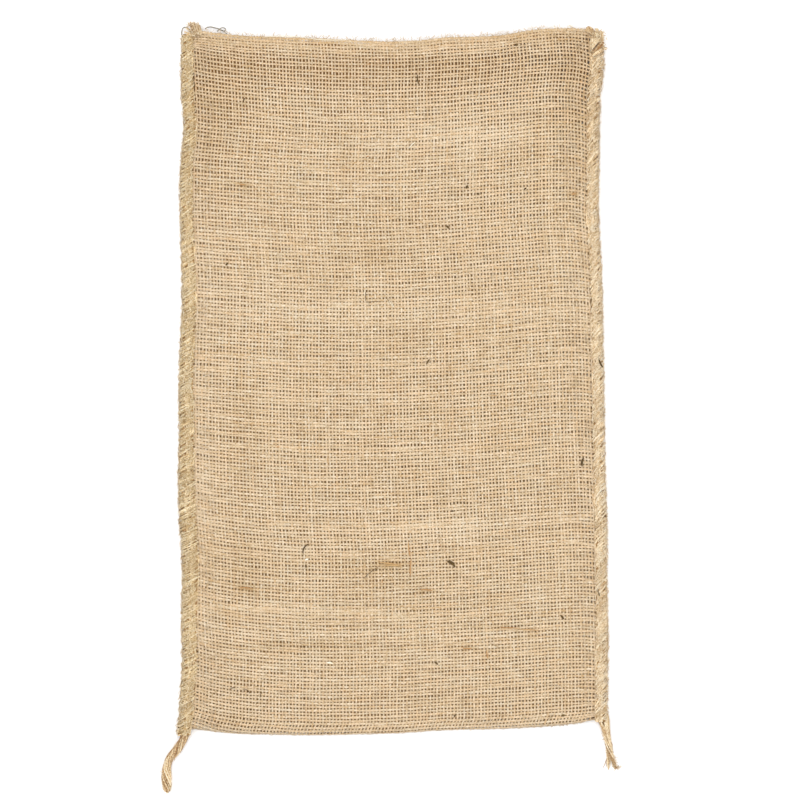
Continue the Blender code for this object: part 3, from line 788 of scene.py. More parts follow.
def stitch_tree():
    """Whip stitches: groups of slanting threads that wrap an edge from front to back."""
    tree, given, add = new_tree(
        "whip stitches", Guide="Object", Stitches="Int", First_stitch="Int", Threads="Int",
        Points="Int", Pitch="Float", Length="Float", Fill="Float", Slant="Float",
        Begin="Float", End="Float", Darkest="Float", Lightest="Float", Unevenness="Float",
        Width="Float", Thickness="Float", Seed="Int", Finish="Material")
    threads = add("FunctionNodeIntegerMath", given["Stitches"], given["Threads"],
                  operation="MULTIPLY")
    started = start_strands(add, threads, given["Points"])
    thread, way, from_middle = started[1], started[3], started[4]
    stitch, place = [add("FunctionNodeIntegerMath", thread, given["Threads"], operation=part)
                     for part in ("DIVIDE", "MODULO")]
    drawn = []
    for offset in (11, 23, 37, 41, 53):
        seed = add("FunctionNodeIntegerMath", given["Seed"], offset, operation="ADD")
        drawn.append(add("FunctionNodeRandomValue", {2: -1.0, 3: 1.0, 7: thread, 8: seed},
                         data_type="FLOAT").outputs[1])
    sooner, later, shifted, leaning, raised = drawn
    # across: from the front line to the back line, each end a little early or late
    early = add("ShaderNodeMath", sooner, 0.05, given["Begin"], operation="MULTIPLY_ADD")
    late = add("ShaderNodeMath", later, 0.035, given["End"], operation="MULTIPLY_ADD")
    across = add("ShaderNodeMapRange", {0: way, 3: early, 4: late})
    # along: the stitch's place, the thread's place in it, and the slant, steep at first; the
    # threads of one stitch are drawn together at its two ends
    from_end = add("ShaderNodeMath", from_middle, operation="ABSOLUTE")
    fill = add("ShaderNodeMapRange", from_end, 0.5, 0.26, given["Fill"], 1.0)
    share = add("ShaderNodeMath", place, given["Threads"], operation="DIVIDE")
    own = add("FunctionNodeIntegerMath", stitch, given["First stitch"], operation="ADD")
    spread = add("ShaderNodeMath", share, fill, own, operation="MULTIPLY_ADD")
    uneven = add("ShaderNodeMath", shifted, given["Unevenness"], spread,
                 operation="MULTIPLY_ADD")
    start = add("ShaderNodeMath", uneven, given["Pitch"], operation="MULTIPLY")
    left = add("ShaderNodeMath", 1.0, way, operation="SUBTRACT")
    bent = add("ShaderNodeMath", left, 2.6, operation="POWER")
    slant = add("ShaderNodeMath", bent, given["Slant"], operation="MULTIPLY")
    more = add("ShaderNodeMath", leaning, 0.24, 1.0, operation="MULTIPLY_ADD")
    leant = add("ShaderNodeMath", slant, more, start, operation="MULTIPLY_ADD")
    along = add("ShaderNodeMath", leant, given["Length"], operation="DIVIDE")
    ends = add("ShaderNodeMath", way, 2.0, -1.0, operation="MULTIPLY_ADD")
    steep = add("ShaderNodeMath", ends, 10.0, operation="POWER")
    dive = add("ShaderNodeMath", steep, STITCH_DIVE, operation="MULTIPLY")
    lift = add("ShaderNodeMath", raised, STITCH_RISE, dive, operation="MULTIPLY_ADD")
    tone, girth = [add("FunctionNodeRandomValue", {2: least, 3: most, 7: thread, 8: seed},
                       data_type="FLOAT").outputs[1]
                   for least, most, seed in ((given["Darkest"], given["Lightest"], 71),
                                             (0.55, 1.25, 83))]
    end_strands(add, given, started, given["Points"], (across, along, lift), tone, girth,
                given["Thickness"], 4)
    return tree


def lay_wires(name, wires, guide, width, thickness, finish, sides=5):
    """Strands along given wires: each is its points on the guide, its tone, and its girth
    or girths."""
    points, edges, lay, tones, girths = [], [], [], [], []
    for number, (line, tone, girth) in enumerate(wires):
        first, count = len(points), len(line)
        points += [tuple(p) for p in line]
        edges += [(first + i, first + i + 1) for i in range(count - 1)]
        lay += [(0, i, number) for i in range(count)]
        tones += [tone] * count
        girths += list(np.broadcast_to(girth, count))
    mesh = bpy.data.meshes.new(name)
    mesh.from_pydata(points, edges, [])
    layer = mesh.attributes.new("lay", "FLOAT_VECTOR", "POINT")
    layer.data.foreach_set("vector", np.ravel(lay).astype(np.float32))
    mark(mesh, "tone", tones)
    mark(mesh, "girth", girths)
    longest = max(len(line) for line, tone, girth in wires)
    return grow(name, lay_strands, len(wires), longest, sides, mesh, guide=guide, width=width,
                thickness=thickness, finish=finish)


def seam_plies(section_length, seam_length, chance):
    """The soft plies along a seam's inner line, front and back. They sway with the stitches,
    and each wanders of its own accord."""
    wires = []
    count = int(seam_length / PLY_STEP)
    for number in range(PLIES):
        for back in (False, True):
            starts = [chance.uniform(0, 6.3) for wave in range(5)]
            line, girth = [], []
            for i in range(count + 1):
                y = i * seam_length / count
                sway = 0.2 * math.sin(2 * math.pi * y / STITCH_PITCH + 0.5 * number)
                drift = (0.5 * math.sin(y / 0.0061 + starts[0])
                         + 0.6 * math.sin(y / 0.0173 + starts[1])
                         + 0.35 * math.sin(y / 0.0029 + starts[2]))
                u = max(1.9 + PLY_GAP * number + sway + drift, 0.4) * MM / section_length
                rise = 0.4 * math.sin(y / 0.0037 + starts[3]) + 0.2 * math.sin(y / 0.0017)
                line.append((1 - u if back else u, y / seam_length,
                             (0.6 * rise - 0.5 - 0.35 * max(0, 3 - number)) * MM))
                girth.append(1 + 0.3 * math.sin(y / 0.0047 + starts[4]))
            wires.append((line, chance.uniform(0.25, 0.7), girth))
    return wires


def woven_edge(name, colours):
    """The same cloth seen edge-on, its colours drawn darker and browner than the cloth's as
    painted shade for where it lies deep under the stitches: its weave is drawn 2.4 mm to a yarn.
    """
    material, add = new_material(name)
    spot = add("ShaderNodeTexCoord").outputs["Object"]
    grain = add("ShaderNodeTexNoise", spot, None, 420.0, 4.0)
    bars = add("ShaderNodeTexWave", spot, 130.0, 3.0, 2.0, bands_direction="Y")
    both = add("ShaderNodeMath", bars.outputs["Fac"], 0.5, grain.outputs[0],
               operation="MULTIPLY_ADD")
    ramp = add("ShaderNodeValToRGB", both)
    colour_ramp(ramp, ((0.35, colours[0]), (1.0, colours[1])))
    bump = add("ShaderNodeBump", {"Strength": 0.6, "Distance": 0.0006, "Height": both})
    add("ShaderNodeOutputMaterial", add("ShaderNodeBsdfPrincipled", {
        "Base Color": ramp.outputs[0], "Roughness": 0.9, "Normal": bump}))
    return material


HEM_SINK = 0.9 * MM
HEM_STATIONS = 80
# the hem's dark browns are painted shade, standing for the shade in the gaps between the stitches
hem_jute_painted_shade = woven_edge("woven_jute_hem", ("#7E5C32", "#AE8A5A"))


def hem(name, guide):
    """The turned-in edge of the cloth that the stitches hold: a doubled strip under them."""
    points = read_all(guide.data.vertices, "co", 3).reshape(-1, SEAM_STATIONS, 3).astype(float)
    out = read_all(guide.data.attributes["outward"].data, "vector", 3).reshape(points.shape)
    picked = np.linspace(0, SEAM_STATIONS - 1, HEM_STATIONS).round().astype(int)
    inner = (points - out * HEM_SINK)[1:-1, picked]
    rows, long = inner.shape[:2]
    index = np.arange(rows * long).reshape(rows, long)
    following = np.roll(index, -1, axis=0)
    faces = np.stack([index[:, :-1], index[:, 1:], following[:, 1:], following[:, :-1]], axis=-1)
    faces = faces.reshape(-1, 4).tolist() + [index[::-1, 0].tolist(), index[:, -1].tolist()]
    mesh = bpy.data.meshes.new(name)
    mesh.from_pydata(inner.reshape(-1, 3).tolist(), [], faces)
    work = bmesh.new()
    work.from_mesh(mesh)
    bmesh.ops.recalc_face_normals(work, faces=work.faces)
    work.to_mesh(mesh)
    work.free()
    mesh.shade_smooth()
    # the darkened hem finish: painted shade
    mesh.materials.append(hem_jute_painted_shade)
    return new_object(name, mesh)


SEAM_FIBRES = 2000
EDGE_HAIRS = 360
twine_jute = spun_jute("spun_jute_twine", ("#AE8D5F", "#DFC49B", "#F3E3C7"), "#A56A2C", 1.8, 1.8)
pale_twine = spun_jute("spun_jute_twine_pale", ("#B8956B", "#ECD2AE", "#FDEFDA"), "#A56A2C", 1.8,
                       1.4)
end_jute = spun_jute("spun_jute_ends", ("#8C643C", "#DABF99", "#F8EAD2"), "#8A5524", 1.8, 0.8)
whip_stitches = stitch_tree()
guides = [cloth_guide]
hems = []
for side, label, seed, twine, slant, darkest, lightest, out_by, band_by in (
        (-1, "_left", 5, twine_jute, 8.0, 0.05, 0.85, LEFT_OUT, LEFT_BAND),
        (1, "_right", 9, pale_twine, 11.0, 0.0, 0.9, RIGHT_OUT, RIGHT_BAND)):
    guide, section_length, seam_length = seam_guide(side, "seam" + label, out_by, band_by)
    shade_guide(guide, 0.5)
    guides.append(guide)
    stitches = int(seam_length / STITCH_PITCH) + 2 * SPARE_STITCHES
    stitched = grow("stitches" + label, whip_stitches, stitches * THREADS, THREAD_STEPS,
                    guide=guide, stitches=stitches, first_stitch=-SPARE_STITCHES,
                    threads=THREADS, points=THREAD_STEPS, pitch=STITCH_PITCH,
                    length=seam_length, fill=0.95, slant=side * -slant * MM,
                    begin=STITCH_REACH[0], end=STITCH_REACH[1], darkest=darkest,
                    lightest=lightest, unevenness=0.2, width=1.05 * MM, thickness=1.0 * MM,
                    seed=seed, finish=twine)
    plies = lay_wires("plies" + label, seam_plies(section_length, seam_length,
                      random.Random(seed)), guide, 1.6 * MM, 1.0 * MM, twine, 4)
    size = (section_length, seam_length)
    loose = scatter("fibres" + label, SEAM_FIBRES, guide, (0.02, 0.62, 0.004, 0.996), size,
                    (2.5, 8), (0.35, 1.4), 1.0, 1.8, seed, twine, 1.5 * FIBRE_WIDTH, side * 0.75)
    hairs = scatter("hairs" + label, EDGE_HAIRS, guide, (0.40, 0.50, 0.004, 0.996), size,
                    (2, 6), (0.7, 2.0), 1.57, 1.8, seed + 1, twine)
    give((stitched, plies, loose, hairs), "seam" + label)
    hems.append(hem("hem" + label, guide))
give(hems, "sack_cloth")


# ---------------------------------------------------------------------------------------
# The twine's two free ends, below the fold: soft plies loosely twisted. The left one ends
# in a felted lump, and the right one opens into two plies with frayed tips.
# ---------------------------------------------------------------------------------------
BENCH = 0.7                        # a flat sheet this wide, at table height, for loose strands
half = BENCH / 2
bench_points = np.array([[(x, y, 0.0) for y in (-half, 0, half)] for x in (-half, 0, half)])
bench = guide_object("bench_guide", bench_points, bench_points[:, :, :2] / BENCH + 0.5, True)
shade_guide(bench, 0.0)
guides.append(bench)
chance = random.Random(21)


def on_bench(x, y, z):
    """A place, as a wire on the bench's guide has it."""
    return x / BENCH + 0.5, y / BENCH + 0.5, z


def smooth_path(points, steps):
    """A smooth line through a few points in mm, given back in metres at even steps."""
    knots = np.array(points, float) * MM
    spans = run_of(knots)
    slopes = np.gradient(knots, spans, axis=0)
    fine = []
    for at in np.linspace(0, spans[-1], 200):
        k = min(int(np.searchsorted(spans, at, side="right")) - 1, len(knots) - 2)
        h = spans[k + 1] - spans[k]
        t = (at - spans[k]) / h
        fine.append(knots[k] * (2 * t ** 3 - 3 * t ** 2 + 1)
                    + knots[k + 1] * (3 * t ** 2 - 2 * t ** 3)
                    + slopes[k] * h * (t ** 3 - 2 * t ** 2 + t)
                    + slopes[k + 1] * h * (t ** 3 - t ** 2))
    fine = np.array(fine)
    run = run_of(fine)
    return np.stack([np.interp(np.linspace(0, run[-1], steps), run, fine[:, k])
                     for k in range(3)], axis=1)


def twisted(points, plies, spread, turns, steps=24, girths=(1.0,), start=0.0, flat=0.8,
            reach=None, tones=(0.3, 0.65)):
    """Plies wound round one line. spread is how far each lies from it, in mm."""
    line = smooth_path(points, steps)
    along = np.gradient(line, axis=0)
    along /= np.linalg.norm(along, axis=1, keepdims=True)
    aside = np.cross(along, (0, 0, 1))
    above = np.cross(aside, along)
    even = np.linspace(0, 1, steps)
    girth = np.interp(even, np.linspace(0, 1, len(girths)), girths)
    reach = girth if reach is None else np.interp(even, np.linspace(0, 1, len(reach)), reach)
    wires = []
    for ply in range(plies):
        angle = 2 * math.pi * (start + ply / plies + turns * even)
        offset = (aside * np.cos(angle)[:, None] + above * (flat * np.sin(angle))[:, None])
        place = line + offset * (spread * MM * reach)[:, None]
        place[:, 2] = np.maximum(place[:, 2], 0.9 * MM)
        wires.append((np.stack(on_bench(*place.T), axis=1), chance.uniform(*tones), girth))
    return wires


def whiskers(path, count, spread):
    """Short fibres that stand off a twine, bent and lying every way."""
    wires = []
    for number in range(count):
        at = path[chance.randrange(len(path))]
        x, y = at[0] + chance.gauss(0, spread) * MM, at[1] + chance.gauss(0, spread) * MM
        z = max(at[2] + chance.uniform(-1.0, 2.4) * MM, 0.6 * MM)
        heading, bend = chance.uniform(0, 2 * math.pi), chance.uniform(-1.5, 1.5)
        length = chance.uniform(1.5, 4.5) * MM
        line = [on_bench(x + t * length * math.cos(heading + bend * t),
                         y + t * length * math.sin(heading + bend * t), z)
                for t in (-0.5, -0.17, 0.17, 0.5)]
        wires.append((line, chance.uniform(-0.1, 0.7), 0.26))
    return wires


TAIL_LEFT = ((-145.6, -248.6, 4.25), (-146.0, -252, 4.25), (-147.9, -256.4, 4.1),
             (-150.8, -261, 3.2), (-154.2, -266, 2.7), (-157.9, -270.8, 2.6),
             (-159.8, -276, 2.6), (-160.2, -283, 2.7), (-159.6, -293.8, 2.5))
TAIL_RIGHT = ((149.2, -242.4, 4.25), (150.4, -246.2, 4.25), (152.2, -252.4, 3.6),
              (153.5, -257.6, 3.0), (155.0, -263.2, 2.6), (157.0, -269.6, 2.4),
              (159.8, -277.4, 2.2))
LEFT_GIRTHS = (0.9, 0.95, 1.0, 1.1, 1.2, 1.25, 1.1, 0.95, 1.0, 1.15, 1.3, 1.4, 1.35, 1.25, 0.8)
RIGHT_GIRTHS = (1.1, 1.05, 1.0, 0.95, 0.9, 0.85, 0.75, 0.6)
FRAYS_LEFT = (   # points in mm, plies, girths: the seam's outer threads run down into the end
    (((-148.8, -251, 5.6), (-150.2, -256.4, 4.6), (-153.6, -261.6, 3.6), (-158.2, -266.8, 3.0),
      (-161.4, -272.4, 2.2), (-161.8, -278, 1.6)), 2, (0.5, 0.9, 1.0, 1.0, 0.8, 0.4)),
    (((-158.6, -283.6, 3.4), (-161.6, -286.6, 3.0), (-161.0, -290.6, 2.4), (-159.4, -295.0, 2.0)),
     3, (0.8, 1.2, 1.1, 0.8)),
    (((-161.4, -281.0, 3.0), (-158.2, -285.0, 3.6), (-158.0, -290.0, 2.6)), 3, (0.9, 1.2, 0.7)))
FRAYS_RIGHT = (  # and at the other corner they do the same
    (((153.4, -238, 6.2), (154.0, -243.4, 5.2), (154.2, -248.6, 4.4), (154.9, -255, 3.6),
      (156.4, -262, 2.8), (157.6, -269, 2.0)), 3, (0.9, 1.1, 1.1, 1.0, 0.9, 0.6)),
    (((151.2, -239, 6.4), (152.2, -244.4, 5.6), (153.2, -250.6, 4.6), (154.6, -257, 3.6),
      (157.0, -265, 2.4)), 3, (0.9, 1.2, 1.2, 1.0, 0.7)),
    (((147.6, -241.6, 6.0), (149.6, -246.8, 5.0), (151.6, -252.6, 3.6), (153.2, -259, 2.4),
      (154.0, -266, 2.0), (154.4, -272, 1.5), (154.5, -278.6, 0.9)), 3,
     (0.9, 1.2, 1.2, 1.2, 1.2, 1.0, 0.4)),
    (((155.0, -266.4, 1.8), (153.4, -271, 1.2), (151.6, -275, 1.0), (150.4, -277.6, 0.8)), 1,
     (0.7, 0.55, 0.45, 0.3)),
    (((155.2, -268.4, 1.8), (153.6, -272.4, 1.2), (153.0, -276.4, 0.8)), 1, (0.6, 0.5, 0.3)),
    (((155.6, -268, 1.8), (155.8, -273, 1.2), (155.2, -277.0, 0.8)), 1, (0.7, 0.6, 0.3)),
    (((159.0, -274.4, 1.6), (160.0, -277.2, 1.0), (162.2, -277.4, 0.8), (164.4, -275.6, 0.8)), 1,
     (0.6, 0.5, 0.45, 0.3)),
    (((159.4, -274.4, 1.6), (160.8, -276.2, 1.0), (163.2, -275.8, 0.8)), 1, (0.5, 0.45, 0.3)))
ENDS = (         # line, steps, turns, girths, width and thickness in mm, then its soft plies
    # and its fine strands: how many, spread in mm, girth, start, tones
    ("left", TAIL_LEFT, 44, 1.15, LEFT_GIRTHS, 3.1, 2.6,
     ((3, 1.35, 0.8, 0.1, (-0.1, 0.4)), (11, 2.2, 0.30, 0.2, (-0.2, 1.0)))),
    ("right", TAIL_RIGHT, 36, 0.9, RIGHT_GIRTHS, 2.9, 2.3,
     ((2, 1.15, 0.8, 0.0, (-0.3, 0.3)), (6, 1.6, 0.32, 0.3, (-0.2, 1.0)))))
twine_ends = []
for label, line, steps, turns, girths, width, thickness, layers in ENDS:
    wires = []
    for plies, spread, slim, start, tones in layers:
        wires += twisted(line, plies, spread, turns, steps, [slim * g for g in girths],
                         start, reach=girths, tones=tones)
    twine_ends.append(lay_wires("twine_end_" + label, wires, bench, width * MM, thickness * MM,
                                end_jute, 6))
for label, end, line, frays, steps, far_end in (
        ("left", twine_ends[0], TAIL_LEFT, FRAYS_LEFT, 30, "knot"),
        ("right", twine_ends[1], TAIL_RIGHT, FRAYS_RIGHT, 26, "bare")):
    wires = []
    for points, plies, girths in frays:
        wires += twisted(points, plies, 0.55, 0.35, 20, girths, tones=(-0.2, 0.9))
    wires += whiskers(smooth_path(line, 40)[4:], 110, 1.0)
    fray = lay_wires("twine_fray_" + label, wires, bench, 1.15 * MM, 1.0 * MM, end_jute)
    give((end, fray), "tail_" + label)
    path = smooth_path(line, steps)


# ---------------------------------------------------------------------------------------
# The knot that starts the right-hand seam, on its front at the mouth: flat open strands of
# the same twine, drawn over one another, with a short tip sticking out.
# ---------------------------------------------------------------------------------------
KNOT_STRANDS = (  # points in mm, plies, spread, girth
    (((143.1, 243.7, 10.6), (140.6, 246.2, 10.8), (137.4, 247.2, 9.8)), 2, 0.4, 1.1),
    (((143.1, 244.8, 10.8), (140.2, 247.9, 11.0), (137.9, 248.5, 10.0)), 2, 0.4, 1.2),
    (((143.1, 245.4, 10.8), (140.9, 248.3, 11.0), (138.8, 249.5, 10.2)), 2, 0.4, 1.1),
    (((143.4, 244.7, 10.6), (142.0, 247.6, 10.6), (140.4, 249.2, 9.8)), 2, 0.4, 1.1),
    (((143.1, 246.0, 10.4), (142.5, 240.5, 11.0), (141.2, 234.8, 9.4)), 2, 0.6, 1.2),
    (((145.7, 248.3, 10.6), (144.9, 243.3, 12.0), (143.8, 238.8, 10.6)), 2, 0.45, 1.3),
    (((147.4, 246.5, 9.8), (147.4, 241.2, 10.8), (147.6, 235.5, 9.6)), 2, 0.5, 1.2),
    (((148.6, 246.8, 9.6), (148.8, 241.2, 10.8), (148.8, 235.2, 9.4)), 2, 0.5, 1.2),
    (((149.4, 246.2, 9.0), (149.7, 241.2, 10.0), (149.7, 234.8, 9.0)), 2, 0.4, 1.0),
    (((141.6, 234.6, 10.2), (144.5, 238.0, 12.0), (148.2, 242.0, 11.2)), 3, 0.6, 1.25),
    (((143.6, 231.9, 9.6), (146.6, 235.0, 11.7), (150.2, 238.7, 10.2)), 3, 0.6, 1.25),
    (((142.3, 229.3, 9.2), (145.6, 231.2, 10.8), (149.3, 233.8, 9.8)), 3, 0.6, 1.2),
    (((149.5, 235.9, 9.8), (151.4, 234.9, 9.2), (153.2, 234.5, 8.8)), 2, 0.3, 0.6),
    (((149.5, 234.9, 9.6), (151.2, 233.9, 9.0), (152.6, 233.7, 8.6)), 1, 0.2, 0.6))
knot_wires = []
for points, plies, spread, girth in KNOT_STRANDS:
    knot_wires += twisted(points, plies, spread, 0.3, 14, (girth, girth * 1.1, girth * 0.8),
                          chance.random(), 0.4, tones=(-0.45, 0.9))
knot_wires += whiskers(np.array([(143 + k % 8, 236 + k % 11, 11.0) for k in range(88)]) * MM,
                       90, 1.2)
knot = lay_wires("knot_of_twine", knot_wires, bench, 1.4 * MM, 1.1 * MM, end_jute)
give([knot], "knot_right")


# ---------------------------------------------------------------------------------------
# The left-hand seam's end at the mouth: its plies are cut short and fan out in a tuft,
# beside a small loop, and a single yarn has sprung loose from the selvedge and curled.
# ---------------------------------------------------------------------------------------
TUFT_STRANDS = (  # points in mm, girth
    (((-139.6, 245.0, 8.2), (-142.0, 249, 7.0), (-144.9, 253.4, 6.0)), 0.6),
    (((-139.2, 245.2, 8.2), (-141.0, 249.3, 7.2), (-143.2, 253.9, 5.8)), 0.7),
    (((-138.7, 245.0, 8.4), (-140.2, 249.5, 7.4), (-141.9, 253.8, 5.6)), 0.7),
    (((-138.2, 244.6, 8.4), (-139.2, 249, 7.4), (-140.5, 253.9, 5.6)), 0.8),
    (((-137.6, 244.4, 8.4), (-138.2, 248.8, 7.2), (-139.0, 253.0, 5.4)), 0.8),
    (((-137.0, 244.4, 8.2), (-137.1, 248.4, 7.0), (-137.6, 253.4, 5.2)), 0.85),
    (((-136.4, 244.2, 8.0), (-136.2, 247.6, 7.0), (-136.4, 251.6, 5.2)), 0.85),
    (((-135.9, 244.0, 7.8), (-135.5, 246.8, 6.8), (-135.9, 250.0, 5.2)), 0.7),
    (((-139.4, 244.5, 8.0), (-142.6, 247, 7.4), (-146.4, 249.4, 6.4)), 0.7),
    (((-139.6, 243.6, 8.0), (-143.6, 245.0, 7.6), (-147.4, 246.6, 6.4)), 0.8))
LOOP = ((-149.2, 244.4, 6.4), (-149.0, 247.2, 6.2), (-148.3, 249.1, 6.0), (-146.8, 249.8, 6.0),
        (-145.0, 249.2, 6.6), (-143.1, 247.6, 7.4), (-141.6, 245.4, 8.0))
CURL = ((-132.8, 249.0, 3.0), (-131, 250.2, 2.8), (-128.9, 250.5, 2.8), (-126, 249.8, 3.0),
        (-123.2, 249.1, 3.2), (-120.6, 247.8, 3.6), (-118.8, 247.5, 3.6), (-118.2, 248.9, 3.4),
        (-120.0, 249.9, 3.4), (-122.0, 249.1, 3.8), (-124.2, 246.9, 4.6))
CURL_TAIL = ((-121.4, 248.4, 3.4), (-118.9, 246.8, 4.2), (-116.6, 244.6, 6.0),
             (-115.2, 242.8, 7.4))
tuft_wires = []
for points, girth in TUFT_STRANDS:
    tuft_wires += twisted(points, 3, 0.6, 0.5, 12, (girth, girth, girth * 0.5), flat=0.5,
                          tones=(-0.2, 0.9))
tuft_wires += whiskers(np.array([(-143 + k % 7, 244 + k % 9, 8.0) for k in range(63)]) * MM,
                       70, 1.0)
tuft = lay_wires("tuft_of_twine", tuft_wires, bench, 1.15 * MM, 1.0 * MM, end_jute)
give([tuft], "tuft_left")
grey_jute = spun_jute("weathered_jute_yarn", ("#6B6458", "#857D70", "#9C9486"), "#6B5A40", 1.8)
loose_wires = []
for points, girth in ((CURL, 0.62), (CURL_TAIL, 0.5), (LOOP, 0.7)):
    loose_wires += twisted(points, 1, 0.0, 0.0, 40, (girth, girth * 1.1, girth * 0.9))
give([lay_wires("loose_yarn", loose_wires, bench, 1.2 * MM, 1.0 * MM, grey_jute)])


# ---------------------------------------------------------------------------------------
# What the jute brought with it from the field and the mill: dark slivers of bark, rusty
# fibres and pale lint, caught in the weave of the front and in the right-hand seam.
# ---------------------------------------------------------------------------------------
BITS = (  # kind, x and y in mm, length, turned by degrees, bowed by mm, girth
    ("bark", -104.6, 197.6, 3.4, 70, 0.3, 0.7), ("bark", -116.8, 81.4, 2.4, 50, 0.1, 1.3),
    ("bark", 19.2, 212.2, 7.6, 100, 0.8, 0.8), ("bark", 88.4, 236.9, 2.2, 20, 0.1, 1.3),
    ("bark", 53.6, 136.1, 2.6, 60, 0.2, 1.3), ("bark", 61.4, 131.1, 2.0, 0, 0.1, 1.1),
    ("bark", 94.8, 134.7, 2.0, 30, 0.1, 1.0), ("bark", 40.1, 107.7, 2.6, 130, 0.2, 1.2),
    ("bark", 25.9, 11.9, 4.2, 60, 0.3, 1.0), ("bark", 136.0, -59.1, 6.6, 80, 0.7, 1.2),
    ("bark", 42.0, -130.5, 5.6, -22, 0.2, 1.7), ("bark", 43.4, -131.9, 4.6, -38, 0.2, 1.5),
    ("bark", 43.0, -93.9, 1.6, 0, 0.0, 1.0), ("bark", -60.6, -121.0, 8.8, 62, 1.8, 0.8),
    ("bark", -60.7, -133.0, 2.2, 90, 0.1, 1.1), ("bark", -14.5, -137.6, 15.0, 39, 0.5, 0.35),
    ("bark", 121.0, -169.2, 3.8, -50, 0.2, 1.3), ("bark", 31.6, -201.9, 3.2, -40, 0.2, 1.2),
    ("bark", 121.8, -239.5, 2.6, 10, 0.1, 1.2), ("bark", 45.1, -239.5, 2.2, 60, 0.1, 1.0),
    ("bark", -113.0, -220.3, 5.0, 20, 0.7, 0.45), ("bark", -103.0, -222.0, 6.0, -30, 1.0, 0.45),
    ("bark", -92.5, -224.6, 4.5, 70, 0.6, 0.45), ("bark", 148.7, 11.1, 7.0, 115, 0.5, 1.2),
    ("bark", 147.2, -151.6, 6.4, 106, 0.4, 0.9), ("bark", 142.6, 232.0, 2.6, 60, 0.1, 1.0),
    ("bark", -18.2, 58.6, 8.4, 89, 0.2, 0.35), ("bark", -12.0, 54.6, 11.0, 1, 0.3, 0.25),
    ("bark", -2.6, 55.6, 4.0, -62, 0.3, 0.3), ("lint", -0.8, 53.2, 6.4, -58, 0.4, 0.35),
    ("lint", 1.1, 52.6, 5.0, -66, -0.3, 0.3),
    ("rust", -106.1, 137.5, 3.4, 0, 0.3, 0.7), ("rust", 129.6, 131.1, 3.4, 30, 0.3, 1.0),
    ("rust", -103.3, -148.6, 8.6, -4, 0.3, 0.6), ("slub", -2.4, -131.2, 14.0, -7, 0.2, 0.8),
    ("slub", 0.2, -132.6, 14.0, -4, 0.2, 0.9),
    ("rust", 12.6, -121.0, 11.0, 96, 0.4, 0.7), ("rust", 13.8, -134.0, 12.0, 88, 0.5, 0.8),
    ("rust", 24.6, -150.0, 8.6, -3, 0.2, 0.8), ("rust", 84.0, -177.0, 15.0, -2, 0.3, 0.5),
    ("rust", 98.0, -178.4, 14.0, -5, 0.3, 0.5), ("rust", 54.0, -191.6, 6.4, 0, 0.2, 0.8),
    ("rust", 68.0, -195.7, 6.4, 100, 0.3, 0.7), ("rust", -86.0, 206.0, 7.0, 3, 0.3, 0.6),
    ("rust", 72.0, -12.0, 6.0, 2, 0.2, 0.5), ("rust", -45.0, -58.0, 6.0, 92, 0.2, 0.5),
    ("lint", -43.9, -202.0, 4.8, -12, 0.5, 1.1), ("lint", 14.6, 165.8, 6.4, 45, 0.3, 0.5),
    ("lint", -60.2, -128.4, 2.4, 20, 0.2, 1.0), ("lint", 126.7, 250.2, 3.0, 30, 0.6, 0.4),
    ("lint", 116.0, 250.0, 3.0, 140, 0.6, 0.4), ("lint", -76.0, 242.4, 30.0, -1, 0.8, 0.5),
    ("lint", -45.0, 241.2, 30.0, -2, -0.8, 0.5))
BIT_FINISHES = {
    "bark": spun_jute("jute_bark", ("#3C2C14", "#58421F", "#7A5F36"), "#241810", 1.8),
    "rust": spun_jute("rusty_jute", ("#A07245", "#BA8E5E", "#CDA97A"), "#8C5424", 1.8),
    "slub": spun_jute("dull_jute", ("#A88558", "#C09A6A", "#D2AF80"), "#8A6436", 1.8),
    "lint": spun_jute("pale_lint", ("#DDCDB0", "#F0E6D2", "#FFFAF0"), "#D9C9A8", 1.8)}
BIT_GIRTHS = (0.35, 0.8, 1.0, 1.1, 1.0, 0.8, 0.35)
SEAM_INSIDE = 145                  # a bit further out than this, in mm, lies on a seam
SEAM_HIGHER = 1.6                  # and so much higher
bit_wires = {kind: [] for kind in BIT_FINISHES}
for kind, x, y, length, turned, bowed, girth in BITS:
    lengthwise = Vector((math.cos(math.radians(turned)), math.sin(math.radians(turned)), 0))
    sideways = Vector((-lengthwise.y, lengthwise.x, 0))
    line = []
    for t in np.linspace(-1, 1, len(BIT_GIRTHS)):
        place = Vector((x, y, 0)) + lengthwise * (t * length / 2) + sideways * (bowed * (1 - t * t))
        deep = surface_z(place.x * MM, place.y * MM, True)
        place.z = (max(deep / MM, 5.0) + 0.75 + 0.25 * girth
                   + (SEAM_HIGHER if abs(x) > SEAM_INSIDE else 0))
        line.append(on_bench(place.x * MM, place.y * MM, place.z * MM))
    bit_wires[kind].append((line, chance.uniform(0.3, 0.7), [girth * k for k in BIT_GIRTHS]))
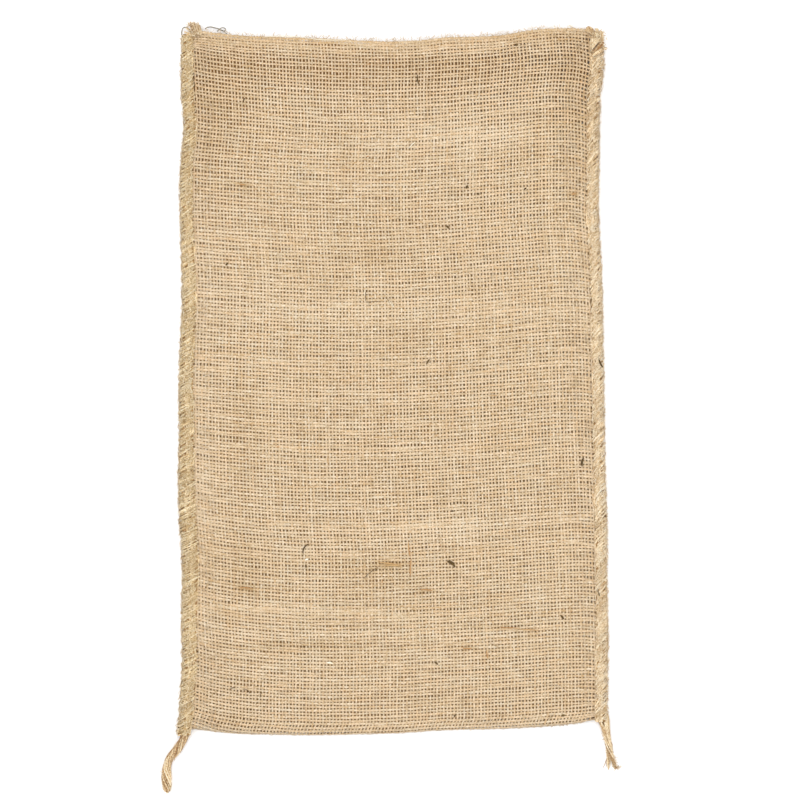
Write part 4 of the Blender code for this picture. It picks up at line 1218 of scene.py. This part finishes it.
give([lay_wires(kind + "_bits", wires, bench, 1.2 * MM, 0.7 * MM, BIT_FINISHES[kind])
      for kind, wires in bit_wires.items()])


# ---------------------------------------------------------------------------------------
# The studio: a plain white floor, even light from a big soft box and from all round, and
# a long lens straight above the sack.
# ---------------------------------------------------------------------------------------
VIEW_CENTRE = Vector((6.0, -15.1, 8.0)) * MM
VIEW_WIDTH = 568.0 * MM
LENS_HEIGHT = 2.0
SENSOR = 36.0
FLOOR = 4.0

camera_data = bpy.data.cameras.new("camera")
camera_data.sensor_width = SENSOR
camera_data.lens = SENSOR * LENS_HEIGHT / VIEW_WIDTH
camera_data.clip_start = 0.1
camera_data.clip_end = 20
camera = new_object("camera", camera_data)
camera.location = VIEW_CENTRE + Vector((0, 0, LENS_HEIGHT))
bpy.context.scene.camera = camera

# plain matt paper, just off white, so that the sack's shadow stays soft
white_paper, add = new_material("white_paper")
add("ShaderNodeOutputMaterial", add("ShaderNodeBsdfPrincipled", {
    "Base Color": linear("#F7F7F7"), "Roughness": 0.9}))
floor_mesh = bpy.data.meshes.new("floor")
floor_mesh.from_pydata([(-FLOOR, -FLOOR, 0), (FLOOR, -FLOOR, 0), (FLOOR, FLOOR, 0),
                        (-FLOOR, FLOOR, 0)], [], [(0, 1, 2, 3)])
floor_mesh.materials.append(white_paper)
new_object("floor", floor_mesh)

world = bpy.data.worlds.new("daylight")
bpy.context.scene.world = world
world.use_nodes = True
world.node_tree.nodes["Background"].inputs[0].default_value = (1, 1, 1, 1)
world.node_tree.nodes["Background"].inputs[1].default_value = 0.9

for label, place, size, power in (("soft_box", (-0.5, 0.5, 2.2), 1.8, 30.0),
                                  ("fill_box", (0.9, -0.7, 1.9), 1.5, 12.0)):
    lamp_data = bpy.data.lights.new(label, "AREA")
    lamp_data.size = size
    lamp_data.energy = power
    lamp = new_object(label, lamp_data)
    lamp.location = place
    lamp.rotation_euler = (-Vector(place)).to_track_quat("-Z", "Y").to_euler()
bpy.context.scene.view_settings.view_transform = "Standard"

for guide in guides:
    bpy.data.objects.remove(guide)
